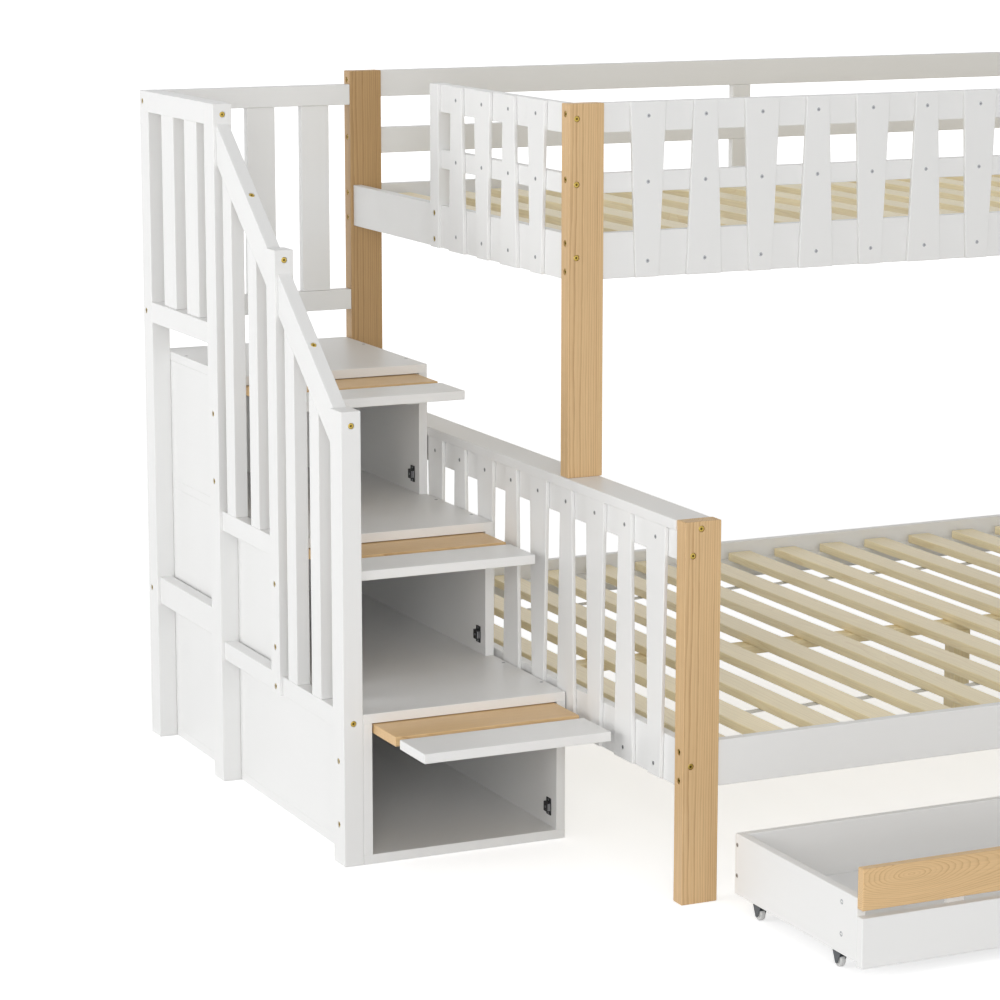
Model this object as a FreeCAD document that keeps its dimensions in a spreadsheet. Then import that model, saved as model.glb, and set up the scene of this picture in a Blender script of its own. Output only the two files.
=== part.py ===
import FreeCAD, Part
import math
import os
from types import SimpleNamespace

import Sketcher
from FreeCAD import Placement, Rotation, Vector

# Bunk bed with storage stairs: a narrow bed above a wide bed, box steps with flip-up
# doors at the head end, a handrail on their open side and two drawers on wheels.
# +X runs from the head end to the foot end, the front faces -Y and +Z is up.
# Pieces are laid out from the head end's outer face and the front posts' outer face,
# and every node is then moved so that the origin is under the middle of the whole.

# Driving dimensions in millimetres (the last group holds counts and a slope).
SIZES = {
    # bed frame
    "bed_length": 1998.0,
    "lower_width": 1443.0,
    "upper_width": 1009.0,
    "post_width": 67.0,
    "post_depth": 30.0,
    "rear_post_height": 1300.0,
    "front_post_height": 650.0,
    "rail_thickness": 18.0,
    "cap_thickness": 18.0,
    "cap_width": 66.0,
    "cap_overhang": 3.0,
    # rails of the lower bed
    "lower_rail_bottom": 197.0,
    "side_rail_height": 78.5,
    "end_rail_height": 81.0,
    "end_top_rail_height": 51.5,
    # rails of the upper bed and its guards
    "guard_height": 305.0,
    "upper_rail_height": 80.5,
    "guard_top_height": 52.0,
    "guard_mid_lift": 149.0,
    "guard_mid_height": 35.0,
    "rear_mid_lift": 141.0,
    "rear_mid_height": 51.0,
    "upright_start": 865.0,
    "upright_width": 42.0,
    "entrance_post_start": 986.0,
    "entrance_post_depth": 38.0,
    "entrance_post_thickness": 30.0,
    # tapered slats that are screwed on the rails
    "taper_wide": 70.0,
    "taper_narrow": 45.0,
    "taper_thickness": 7.0,
    "end_slat_margin": 73.0,
    "end_slat_lift": 2.0,
    "guard_slat_margin": 85.4,
    "entry_slat_margin_front": 101.0,
    "entry_slat_margin_rear": 82.5,
    "foot_slat_margin": 79.4,
    # bed slats and what carries them
    "bed_slat_width": 53.0,
    "bed_slat_thickness": 17.0,
    "bed_slat_margin": 8.0,
    "bed_slat_end_gap": 14.0,
    "lower_slat_seat": 43.0,
    "upper_slat_seat": 45.0,
    "ledger_depth": 30.0,
    "ledger_height": 30.0,
    "beam_width": 35.0,
    "beam_height": 18.0,
    "leg_side": 36.0,
    "strap_width": 17.0,
    "strap_thickness": 1.5,
    "lower_strap_spread": 447.0,
    "upper_strap_spread": 300.0,
    # step cabinet
    "cabinet_width": 387.0,
    "cabinet_gap": 3.0,
    "board_thickness": 17.0,
    "step_rise": 251.0,
    "step_going": 300.0,
    "cabinet_rear_gap": 43.0,
    "landing_rear_gap": 6.0,
    "back_panel_thickness": 5.0,
    # posts and rails of the stair
    "stair_post_thickness": 36.0,
    "stair_post_depth": 50.0,
    "mid_post_depth": 42.0,
    "stair_top_drop": 26.0,
    "mid_post_foot_drop": 15.0,
    "mid_post_stand": 8.0,
    "stair_rail_height": 40.0,
    "stair_mid_rail_lift": 58.5,
    "middle_rail_drop": 19.0,
    "middle_rail_height": 37.0,
    "low_rail_drop": 14.5,
    "low_rail_height": 34.5,
    "rear_low_rail_lift": 3.0,
    "rear_low_rail_height": 53.0,
    "side_rail_inset": 6.0,
    "side_rail_thickness": 25.0,
    "handrail_drop": 37.0,
    "handrail_height": 74.0,
    "baluster_width": 43.0,
    "baluster_rear_gap": 27.0,
    "middle_baluster_pitch": 123.0,
    "front_baluster_pitch": 113.0,
    "rear_baluster_width": 67.0,
    "rear_baluster_pitch": 127.0,
    "back_board_width": 58.5,
    "back_board_thickness": 18.0,
    "back_board_gap": 43.5,
    "back_board_pitch": 113.7,
    # flip-up doors and their magnetic catches
    "door_side_gap": 2.5,
    "door_top_gap": 1.5,
    "door_strip_depth": 105.0,
    "door_board_depth": 104.0,
    "door_slot": 18.0,
    "pivot_inset": 5.0,
    "pivot_radius": 2.0,
    "pivot_clearance": 0.05,
    "pivot_depth_door": 8.0,
    "pivot_depth_panel": 10.0,
    "door_edge_radius": 3.0,
    "door_batten_width": 30.0,
    "door_batten_thickness": 12.0,
    "door_batten_inset": 60.0,
    "door_batten_margin": 60.0,
    "catch_height": 36.0,
    "catch_plate_height": 31.0,
    "catch_plate_depth": 17.0,
    "catch_plate_thickness": 2.0,
    "catch_body_height": 18.0,
    "catch_body_depth": 16.0,
    "catch_body_reach": 6.0,
    "pole_width": 1.5,
    "pole_height": 13.0,
    "pole_depth": 1.5,
    "pole_air_gap": 1.0,
    "strike_width": 12.0,
    "strike_height": 25.0,
    "strike_thickness": 1.5,
    # drawers
    "drawer_side_gap": 7.0,
    "drawer_middle_gap": 16.0,
    "drawer_front_thickness": 17.0,
    "drawer_depth": 389.0,
    "drawer_board": 16.0,
    "drawer_bottom": 25.5,
    "drawer_top": 130.0,
    "drawer_floor_top": 39.0,
    "drawer_floor_thickness": 9.0,
    "front_board_bottom": 18.7,
    "front_board_top": 101.0,
    "front_strip_bottom": 113.0,
    "front_strip_top": 181.0,
    "front_batten_width": 31.0,
    "front_batten_thickness": 12.0,
    "front_batten_inset": 166.0,
    "front_batten_top_margin": 6.0,
    "drawer_pull": 453.0,
    # casters
    "wheel_radius": 11.0,
    "wheel_width": 10.0,
    "wheel_edge": 2.0,
    "wheel_side_gap": 0.8,
    "axle_radius": 1.5,
    "axle_clearance": 0.05,
    "fork_length": 24.0,
    "fork_plate": 1.5,
    "fork_tip": 5.0,
    "caster_inset": 7.5,
    "caster_front": 77.0,
    "caster_rear": 332.0,
    # fasteners
    "bolt_head_radius": 5.0,
    "bolt_head_height": 3.0,
    "bolt_shank_radius": 3.0,
    "bolt_grip": 42.0,
    "bolt_stagger": 8.0,
    "bolt_pair_spread": 24.6,
    "panel_bolt_wall": 3.0,
    "panel_bolt_low": 54.0,
    "rear_panel_bolt_drop": 53.0,
    "middle_panel_bolt_drop": 64.4,
    "front_panel_bolt_drop": 67.0,
    "mid_post_bolt_lift": 13.7,
    "mid_handrail_bolt_drop": 10.0,
    "front_handrail_bolt_drop": 25.0,
    "top_bolt_from_baluster": 5.0,
    "top_bolt_length": 44.0,
    "bolt_recess_radius": 5.6,
    "bolt_recess_depth": 4.0,
    "bolt_clearance": 0.2,
    "cap_bolt_lift": 5.5,
    "end_top_bolt_drop": 38.6,
    "end_screw_lift": 23.3,
    "end_screw_drop": 23.6,
    "guard_screw_lift": 28.9,
    "guard_screw_drop": 24.5,
    "drawer_screw_lift": 33.0,
    "drawer_screw_drop": 19.0,
    "screw_radius": 3.6,
    "screw_top_radius": 2.6,
    "screw_height": 0.8,
    "cam_radius": 5.0,
    "cam_depth": 10.0,
    "cam_setback": 46.0,
    # counts, and the handrail's rise for each millimetre of run
    "end_slat_pairs": 6,
    "guard_slat_pairs": 8,
    "entry_slat_pairs": 2,
    "foot_slat_pairs": 4,
    "bed_slat_count": 17,
    "handrail_slope": 0.8,
}

# Boxes of the stair; each one's front stands beside an outer post of its own.
STEPS = 3


class Size:
    """A number together with the sheet expression that gives it."""

    def __init__(self, value, text):
        self.value = float(value)
        self.text = text

    @staticmethod
    def of(item):
        if isinstance(item, Size):
            return item
        return Size(item, f"({item})")

    def __add__(self, other):
        other = Size.of(other)
        return Size(self.value + other.value, f"({self.text} + {other.text})")

    def __sub__(self, other):
        other = Size.of(other)
        return Size(self.value - other.value, f"({self.text} - {other.text})")

    def __mul__(self, other):
        other = Size.of(other)
        return Size(self.value * other.value, f"({self.text} * {other.text})")

    def __truediv__(self, other):
        other = Size.of(other)
        return Size(self.value / other.value, f"({self.text} / {other.text})")

    def __neg__(self):
        return Size(-self.value, f"(0 - {self.text})")


class Way:
    """A direction, and the turn that brings a cylinder's own +Z axis to it."""

    def __init__(self, turn, vector):
        self.turn = turn
        self.vector = vector

    def along(self, point, distance):
        return [p + distance * v if v else p for p, v in zip(point, self.vector)]


PLUS_X = Way(Rotation(Vector(0, 1, 0), 90), (1, 0, 0))
MINUS_X = Way(Rotation(Vector(0, 1, 0), -90), (-1, 0, 0))
PLUS_Y = Way(Rotation(Vector(1, 0, 0), -90), (0, 1, 0))
MINUS_Y = Way(Rotation(Vector(1, 0, 0), 90), (0, -1, 0))


class Piece:
    """One solid or one row of solids. A piece that takes holes has its box's spans."""

    def __init__(self, obj, spans=()):
        self.obj = obj
        self.box = [(low.value, high.value) for low, high in spans]


class Hole:
    """The tool that cuts a hole, and the box that it fills."""

    def __init__(self, tool, way, start, end, radius):
        self.tool = tool
        self.box = []
        for first, last, v in zip(start, end, way.vector):
            margin = radius.value if v in (0, 1, -1) else radius.value * 2
            low, high = sorted((first.value, last.value))
            self.box.append((low, high) if v in (1, -1) else (low - margin, high + margin))

    def crosses(self, piece):
        return bool(piece.box) and all(
            low < top and bottom < high
            for (low, high), (bottom, top) in zip(self.box, piece.box)
        )


class Model:
    """The document, its sheet and the nodes that are gathered for it."""

    def __init__(self, name):
        self.doc = FreeCAD.newDocument(name)
        self.size = self.fill_sheet()
        self.nodes = {}
        self.holes = []

    def fill_sheet(self):
        sheet = self.doc.addObject("Spreadsheet::Sheet", "Sizes")
        sizes = {}
        for row, (alias, value) in enumerate(SIZES.items(), start=1):
            sheet.set(f"A{row}", alias)
            sheet.set(f"B{row}", str(value))
            sheet.setAlias(f"B{row}", alias)
            sizes[alias] = Size(value, f"Sizes.{alias}")
        self.doc.recompute()
        return SimpleNamespace(**sizes)

    def bind(self, obj, prop, size):
        obj.setExpression(prop, Size.of(size).text)

    def place(self, obj, point):
        for axis, size in zip("xyz", point):
            self.bind(obj, f"Placement.Base.{axis}", size)

    def add(self, label, *pieces):
        self.nodes.setdefault(label, []).extend(pieces)

    def board(self, xs, ys, zs):
        """A plain board between two x, two y and two z positions."""
        box = self.doc.addObject("Part::Box", "Board")
        for prop, (low, high) in zip(("Length", "Width", "Height"), (xs, ys, zs)):
            self.bind(box, prop, high - low)
        self.place(box, (xs[0], ys[0], zs[0]))
        return Piece(box, (xs, ys, zs))

    def rod(self, point, way, radius, length):
        """A cylinder that starts at a point and runs the given way."""
        rod = self.doc.addObject("Part::Cylinder", "Rod")
        rod.Placement = Placement(Vector(), way.turn)
        self.bind(rod, "Radius", radius)
        self.bind(rod, "Height", length)
        self.place(rod, point)
        return rod

    def taper(self, point, way, start_radius, end_radius, length):
        """A cone that starts at a point and runs the given way."""
        cone = self.doc.addObject("Part::Cone", "Taper")
        cone.Placement = Placement(Vector(), way.turn)
        self.bind(cone, "Radius1", start_radius)
        self.bind(cone, "Radius2", end_radius)
        self.bind(cone, "Height", length)
        self.place(cone, point)
        return cone

    def fuse(self, *objects):
        fused = self.doc.addObject("Part::MultiFuse", "Joined")
        fused.Shapes = list(objects)
        return fused

    def group(self, *objects):
        group = self.doc.addObject("Part::Compound", "Group")
        group.Links = list(objects)
        return group

    def cut(self, base, tool):
        cut = self.doc.addObject("Part::Cut", "Cut")
        cut.Base = base
        cut.Tool = tool
        return cut

    def body(self):
        body = self.doc.addObject("PartDesign::Body", "Body")
        body.AllowCompound = True
        return body

    def outline(self, body, role, offset, points):
        """A closed sketch on an origin plane, each corner held by two sizes."""
        sketch = body.newObject("Sketcher::SketchObject", "Outline")
        plane = next(f for f in body.Origin.OriginFeatures if f.Role == role)
        sketch.AttachmentSupport = [(plane, "")]
        sketch.MapMode = "FlatFace"
        self.bind(sketch, "AttachmentOffset.Base.z", offset)
        count = len(points)
        corners = [Vector(u.value, v.value, 0) for u, v in points]
        for k in range(count):
            line = Part.LineSegment(corners[k], corners[(k + 1) % count])
            sketch.addGeometry(line, False)
        for k in range(count):
            follow = Sketcher.Constraint("Coincident", k, 2, (k + 1) % count, 1)
            sketch.addConstraint(follow)
        for k, corner in enumerate(points):
            for kind, size in zip(("DistanceX", "DistanceY"), corner):
                held = Sketcher.Constraint(kind, -1, 1, k, 1, size.value)
                index = sketch.addConstraint(held)
                self.bind(sketch, f"Constraints[{index}]", size)
        return sketch

    def pad(self, body, sketch, length):
        pad = body.newObject("PartDesign::Pad", "Pad")
        pad.Profile = sketch
        self.bind(pad, "Length", length)
        sketch.Visibility = False
        return pad

    def row(self, body, pads, sketch, pitch, count):
        """Repeats pads along the sketch's first axis."""
        row = body.newObject("PartDesign::LinearPattern", "Row")
        row.Originals = pads
        row.Direction = (sketch, ["H_Axis"])
        self.bind(row, "Length", pitch * (count - 1))
        self.bind(row, "Occurrences", count)
        body.Tip = row
        return row

    def hole(self, tool, way, start, length, radius):
        """Notes a hole that every drilled piece in its way gets."""
        self.holes.append(Hole(tool, way, start, way.along(start, length), radius))

    def bolt(self, point, way, length):
        """A bolt driven from a face, with its recess and its bore."""
        s = self.size
        recess = self.rod(point, way, s.bolt_recess_radius, s.bolt_recess_depth)
        bore = self.rod(point, way, s.bolt_shank_radius + s.bolt_clearance, length)
        self.hole(self.fuse(recess, bore), way, point, length, s.bolt_recess_radius)
        head_start = way.along(point, s.bolt_recess_depth - s.bolt_head_height)
        head = self.rod(head_start, way, s.bolt_head_radius, s.bolt_head_height)
        shank_start = way.along(point, s.bolt_recess_depth)
        shank_length = length - s.bolt_recess_depth - s.bolt_clearance
        shank = self.rod(shank_start, way, s.bolt_shank_radius, shank_length)
        self.add("frame_bolts", Piece(self.fuse(head, shank)))

    def screws(self, label, points, way):
        """Screw heads that sit on a face."""
        s = self.size
        for point in points:
            head = self.taper(
                point, way, s.screw_radius, s.screw_top_radius, s.screw_height
            )
            self.add(label, Piece(head))

    def drill(self, piece):
        """The piece with every hole that passes through it."""
        tools = [hole.tool for hole in self.holes if hole.crosses(piece)]
        if not tools:
            return piece.obj
        return self.cut(piece.obj, self.group(*tools))

    def build_nodes(self):
        """Gathers each node's solids and moves them all to the part's own frame."""
        s = self.size
        middle_x = (s.bed_length + s.cap_overhang - stair_reach(s)) / 2
        middle_y = (s.lower_width - s.drawer_pull) / 2
        made = {}
        for label, pieces in self.nodes.items():
            node = self.group(*[self.drill(piece) for piece in pieces])
            node.Label = label
            self.bind(node, "Placement.Base.x", -middle_x)
            self.bind(node, "Placement.Base.y", -middle_y)
            made[label] = node
        return made


def stair_reach(s):
    """How far the stair stands out from the head end's outer face."""
    return s.cabinet_gap + s.cabinet_width + s.stair_post_thickness


def both_ends(s, span):
    """A span along x at the head end, and its mirror at the foot end."""
    return (span, (s.bed_length - span[1], s.bed_length - span[0]))


def from_low(low, size):
    return (low, low + size)


def middle_of(span):
    return (span[0] + span[1]) / 2


def layout(s):
    """The positions that several assemblies share."""
    zero = Size.of(0)
    inset = (s.post_depth - s.rail_thickness) / 2
    upper_bottom = s.rear_post_height - s.guard_height
    upper_front = s.lower_width - s.upper_width
    rear = s.lower_width
    return SimpleNamespace(
        zero=zero,
        inset=inset,
        upper_front=upper_front,
        inner_x=(s.post_width, s.bed_length - s.post_width),
        end_rail_x=(inset, inset + s.rail_thickness),
        end_face=inset - s.taper_thickness,
        front_rail_y=(inset, inset + s.rail_thickness),
        upper_rail_y=(upper_front + inset, upper_front + inset + s.rail_thickness),
        rear_rail_y=(rear - inset - s.rail_thickness, rear - inset),
        rear_post_y=(rear - s.post_depth, rear),
        lower_span_y=(s.post_depth, rear - s.post_depth),
        upper_span_y=(upper_front + s.post_depth, rear - s.post_depth),
        cap_x=(-s.cap_overhang, s.cap_width - s.cap_overhang),
        cap_bottom=s.front_post_height - s.cap_thickness,
        upper_bottom=upper_bottom,
        upper_rail_z=from_low(upper_bottom, s.upper_rail_height),
        guard_mid=from_low(upper_bottom + s.guard_mid_lift, s.guard_mid_height),
        rear_mid=from_low(upper_bottom + s.rear_mid_lift, s.rear_mid_height),
        guard_top=(s.rear_post_height - s.guard_top_height, s.rear_post_height),
    )


def build_posts(model, s, at):
    """Pine posts: full height at the rear, two stacked posts at the front."""
    for xs in both_ends(s, (at.zero, s.post_width)):
        model.add(
            "rear_posts",
            model.board(xs, at.rear_post_y, (at.zero, s.rear_post_height)),
        )
        model.add(
            "lower_front_posts",
            model.board(xs, (at.zero, s.post_depth), (at.zero, s.front_post_height)),
        )
        model.add(
            "upper_front_posts",
            model.board(
                xs,
                from_low(at.upper_front, s.post_depth),
                (s.front_post_height, s.rear_post_height),
            ),
        )


def tapered_slats(model, label, role, offset, first, pitch, pairs, bottom, top):
    """A row of slats, wide at the top and wide at the bottom by turns."""
    s = model.size
    body = model.body()
    pads = []
    for step, low, high in (
        (0, s.taper_narrow, s.taper_wide),
        (1, s.taper_wide, s.taper_narrow),
    ):
        centre = first + pitch * step
        corners = [
            (centre - low / 2, bottom),
            (centre + low / 2, bottom),
            (centre + high / 2, top),
            (centre - high / 2, top),
        ]
        sketch = model.outline(body, role, offset, corners)
        pads.append(model.pad(body, sketch, s.taper_thickness))
    model.row(body, pads, sketch, pitch * 2, pairs)
    model.add(label, Piece(body))
    return [first + pitch * k for k in range(2 * round(pairs.value))]


def build_end_panels(model, s, at):
    """Cap, two rails and tapered slats at the head end and at the foot end."""
    top_rail_bottom = at.cap_bottom - s.end_top_rail_height
    slat_bottom = s.lower_rail_bottom + s.end_slat_lift
    first = at.lower_span_y[0] + s.end_slat_margin
    last = at.lower_span_y[1] - s.end_slat_margin
    pitch = (last - first) / (s.end_slat_pairs * 2 - 1)
    screw_levels = (
        s.lower_rail_bottom + s.end_screw_lift,
        at.cap_bottom - s.end_screw_drop,
    )
    faces = (
        (at.end_face, at.end_face, MINUS_X),
        (s.bed_length - at.inset, s.bed_length - at.end_face, PLUS_X),
    )
    ends = zip(both_ends(s, at.end_rail_x), both_ends(s, at.cap_x), faces)
    for rail_x, cap_x, (slat_start, screw_face, way) in ends:
        model.add(
            "end_caps",
            model.board(cap_x, at.lower_span_y, from_low(at.cap_bottom, s.cap_thickness)),
        )
        model.add(
            "end_top_rails",
            model.board(
                rail_x,
                at.lower_span_y,
                from_low(top_rail_bottom, s.end_top_rail_height),
            ),
        )
        model.add(
            "end_bottom_rails",
            model.board(
                rail_x,
                at.lower_span_y,
                from_low(s.lower_rail_bottom, s.end_rail_height),
            ),
        )
        centres = tapered_slats(
            model,
            "end_slats",
            "YZ_Plane",
            slat_start,
            first,
            pitch,
            s.end_slat_pairs,
            slat_bottom,
            at.cap_bottom,
        )
        points = [(screw_face, y, z) for y in centres for z in screw_levels]
        model.screws("slat_screws", points, way)


def bed_slats(model, s, at, label, rail_y, underside):
    """A row of pine slats that lie across the bed on the two ledgers."""
    first = at.inner_x[0] + s.bed_slat_margin
    last = at.inner_x[1] - s.bed_slat_margin
    pitch = (last - first - s.bed_slat_width) / (s.bed_slat_count - 1)
    front = rail_y[0][1] + s.bed_slat_end_gap
    rear = rail_y[1][0] - s.bed_slat_end_gap
    body = model.body()
    corners = [
        (first, front),
        (first + s.bed_slat_width, front),
        (first + s.bed_slat_width, rear),
        (first, rear),
    ]
    sketch = model.outline(body, "XY_Plane", underside, corners)
    pad = model.pad(body, sketch, s.bed_slat_thickness)
    model.row(body, [pad], sketch, pitch, s.bed_slat_count)
    model.add(label, Piece(body))


def slat_supports(model, s, at, rail_y, underside, middle, spread):
    """Ledgers on the side rails and two straps that run under the slats."""
    ledger_z = (underside - s.ledger_height, underside)
    front, rear = rail_y
    model.add(
        "slat_ledgers",
        model.board(at.inner_x, from_low(front[1], s.ledger_depth), ledger_z),
        model.board(at.inner_x, (rear[0] - s.ledger_depth, rear[0]), ledger_z),
    )
    strap_x = (at.inner_x[0] + s.bed_slat_margin, at.inner_x[1] - s.bed_slat_margin)
    for centre in (middle - spread, middle + spread):
        model.add(
            "slat_straps",
            model.board(
                strap_x,
                from_low(centre - s.strap_width / 2, s.strap_width),
                (underside - s.strap_thickness, underside),
            ),
        )


def build_lower_bed(model, s, at):
    """Side rails, slats, and the beam and leg under their middle."""
    rails = (at.front_rail_y, at.rear_rail_y)
    for ys in rails:
        model.add(
            "lower_side_rails",
            model.board(at.inner_x, ys, from_low(s.lower_rail_bottom, s.side_rail_height)),
        )
    underside = s.lower_rail_bottom + s.lower_slat_seat
    bed_slats(model, s, at, "lower_slats", rails, underside)
    middle = s.lower_width / 2
    slat_supports(model, s, at, rails, underside, middle, s.lower_strap_spread)
    beam_bottom = underside - s.beam_height
    beam_x = (at.end_rail_x[1], s.bed_length - at.end_rail_x[1])
    model.add(
        "centre_beam",
        model.board(
            beam_x,
            from_low(middle - s.beam_width / 2, s.beam_width),
            (beam_bottom, underside),
        ),
    )
    model.add(
        "centre_beam",
        model.board(
            from_low(s.bed_length / 2 - s.leg_side / 2, s.leg_side),
            from_low(middle - s.leg_side / 2, s.leg_side),
            (at.zero, beam_bottom),
        ),
    )


def build_upper_bed(model, s, at):
    """Side rails, end rails, slats and their supports."""
    rails = (at.upper_rail_y, at.rear_rail_y)
    underside = at.upper_bottom + s.upper_slat_seat
    for ys in rails:
        model.add("upper_rails", model.board(at.inner_x, ys, at.upper_rail_z))
    for xs in both_ends(s, at.end_rail_x):
        model.add("upper_rails", model.board(xs, at.upper_span_y, at.upper_rail_z))
    bed_slats(model, s, at, "upper_slats", rails, underside)
    middle = s.lower_width - s.upper_width / 2
    slat_supports(model, s, at, rails, underside, middle, s.upper_strap_spread)


def build_guards(model, s, at):
    """Guards round the upper bed, open at the head end where the stair arrives."""
    guard_mid, rear_mid = at.guard_mid, at.rear_mid
    rail_top = at.upper_rail_z[1]
    slat_z = (at.upper_bottom, s.rear_post_height)
    screw_levels = (
        at.upper_bottom + s.guard_screw_lift,
        middle_of(guard_mid),
        s.rear_post_height - s.guard_screw_drop,
    )

    # front guard
    for zs in (at.guard_top, guard_mid):
        model.add("front_guard_rails", model.board(at.inner_x, at.upper_rail_y, zs))
    first = at.inner_x[0] + s.guard_slat_margin
    last = at.inner_x[1] - s.guard_slat_margin
    pitch = (last - first) / (s.guard_slat_pairs * 2 - 1)
    centres = tapered_slats(
        model,
        "front_guard_slats",
        "XZ_Plane",
        -at.upper_rail_y[0],
        first,
        pitch,
        s.guard_slat_pairs,
        *slat_z,
    )
    face = at.upper_rail_y[0] - s.taper_thickness
    points = [(x, face, z) for x in centres for z in screw_levels]
    model.screws("slat_screws", points, MINUS_Y)

    # rear guard
    for zs in (at.guard_top, rear_mid):
        model.add("rear_guard_rails", model.board(at.inner_x, at.rear_rail_y, zs))
    for zs in ((rail_top, rear_mid[0]), (rear_mid[1], at.guard_top[0])):
        model.add(
            "rear_guard_rails",
            model.board(from_low(s.upright_start, s.upright_width), at.rear_rail_y, zs),
        )

    # head-end guard, from the front post to the entrance
    head_x, foot_x = both_ends(s, at.end_rail_x)
    head_y = (at.upper_span_y[0], s.entrance_post_start)
    for zs in (at.guard_top, guard_mid):
        model.add("end_guard_rails", model.board(head_x, head_y, zs))
        model.add("end_guard_rails", model.board(foot_x, at.upper_span_y, zs))
    post_y = from_low(s.entrance_post_start, s.entrance_post_depth)
    post = model.board((at.zero, s.entrance_post_thickness), post_y, slat_z)
    notch = model.board(head_x, post_y, at.upper_rail_z)
    post.obj = model.cut(post.obj, notch.obj)
    model.add("entrance_post", post)
    first = head_y[0] + s.entry_slat_margin_front
    last = head_y[1] - s.entry_slat_margin_rear
    pitch = (last - first) / (s.entry_slat_pairs * 2 - 1)
    rows = [(at.end_face, at.end_face, first, pitch, s.entry_slat_pairs, MINUS_X)]
    first = at.upper_span_y[0] + s.foot_slat_margin
    last = at.upper_span_y[1] - s.foot_slat_margin
    pitch = (last - first) / (s.foot_slat_pairs * 2 - 1)
    start = s.bed_length - at.inset
    face = s.bed_length - at.end_face
    rows.append((start, face, first, pitch, s.foot_slat_pairs, PLUS_X))
    for start, face, first, pitch, pairs, way in rows:
        centres = tapered_slats(
            model, "end_guard_slats", "YZ_Plane", start, first, pitch, pairs, *slat_z
        )
        points = [(face, y, z) for y in centres for z in screw_levels]
        model.screws("slat_screws", points, way)


def stair_layout(s, at):
    """Positions of the steps, the outer posts and the sloping handrail."""
    cabinet_x = (-s.cabinet_gap - s.cabinet_width, -s.cabinet_gap)
    post_x = (cabinet_x[0] - s.stair_post_thickness, cabinet_x[0])
    thin_x = from_low(post_x[0] + s.side_rail_inset, s.side_rail_thickness)
    fronts = [at.upper_front + s.step_going * k for k in range(STEPS)]
    front_y = from_low(fronts[0], s.stair_post_depth)
    mid_y = from_low(fronts[1], s.mid_post_depth)
    rear_y = from_low(fronts[2], s.stair_post_depth)
    back_y = (s.lower_width - s.stair_post_depth, s.lower_width)

    top = s.rear_post_height - s.stair_top_drop
    landing_top = s.step_rise * STEPS + s.board_thickness

    def handrail(y):
        return top - s.handrail_drop - (rear_y[0] - y) * s.handrail_slope

    return SimpleNamespace(
        cabinet_x=cabinet_x,
        post_x=post_x,
        thin_x=thin_x,
        fronts=fronts,
        front_y=front_y,
        mid_y=mid_y,
        rear_y=rear_y,
        back_y=back_y,
        handrail=handrail,
        top=top,
        rail_top=(top - s.stair_rail_height, top),
        rail_mid=from_low(landing_top + s.stair_mid_rail_lift, s.stair_rail_height),
        rear_low=from_low(
            s.step_rise + s.board_thickness + s.rear_low_rail_lift, s.rear_low_rail_height
        ),
        middle=from_low(s.step_rise * 2 - s.middle_rail_drop, s.middle_rail_height),
        low=from_low(s.step_rise - s.low_rail_drop, s.low_rail_height),
        mid_post_foot=s.step_rise - s.mid_post_foot_drop,
        back_rail_y=from_low(at.rear_post_y[0], s.side_rail_thickness),
        centre_x=middle_of(thin_x),
        top_bolts=[],
    )


def sloped_piece(model, thin_x, label, ys, bottoms, tops):
    """A board in the handrail's plane whose ends follow the given heights."""
    body = model.body()
    corners = [
        (ys[0], bottoms[0]),
        (ys[1], bottoms[1]),
        (ys[1], tops[1]),
        (ys[0], tops[0]),
    ]
    sketch = model.outline(body, "YZ_Plane", thin_x[0], corners)
    model.pad(body, sketch, thin_x[1] - thin_x[0])
    model.add(label, Piece(body, (thin_x, ys, (bottoms[0], tops[1]))))


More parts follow.
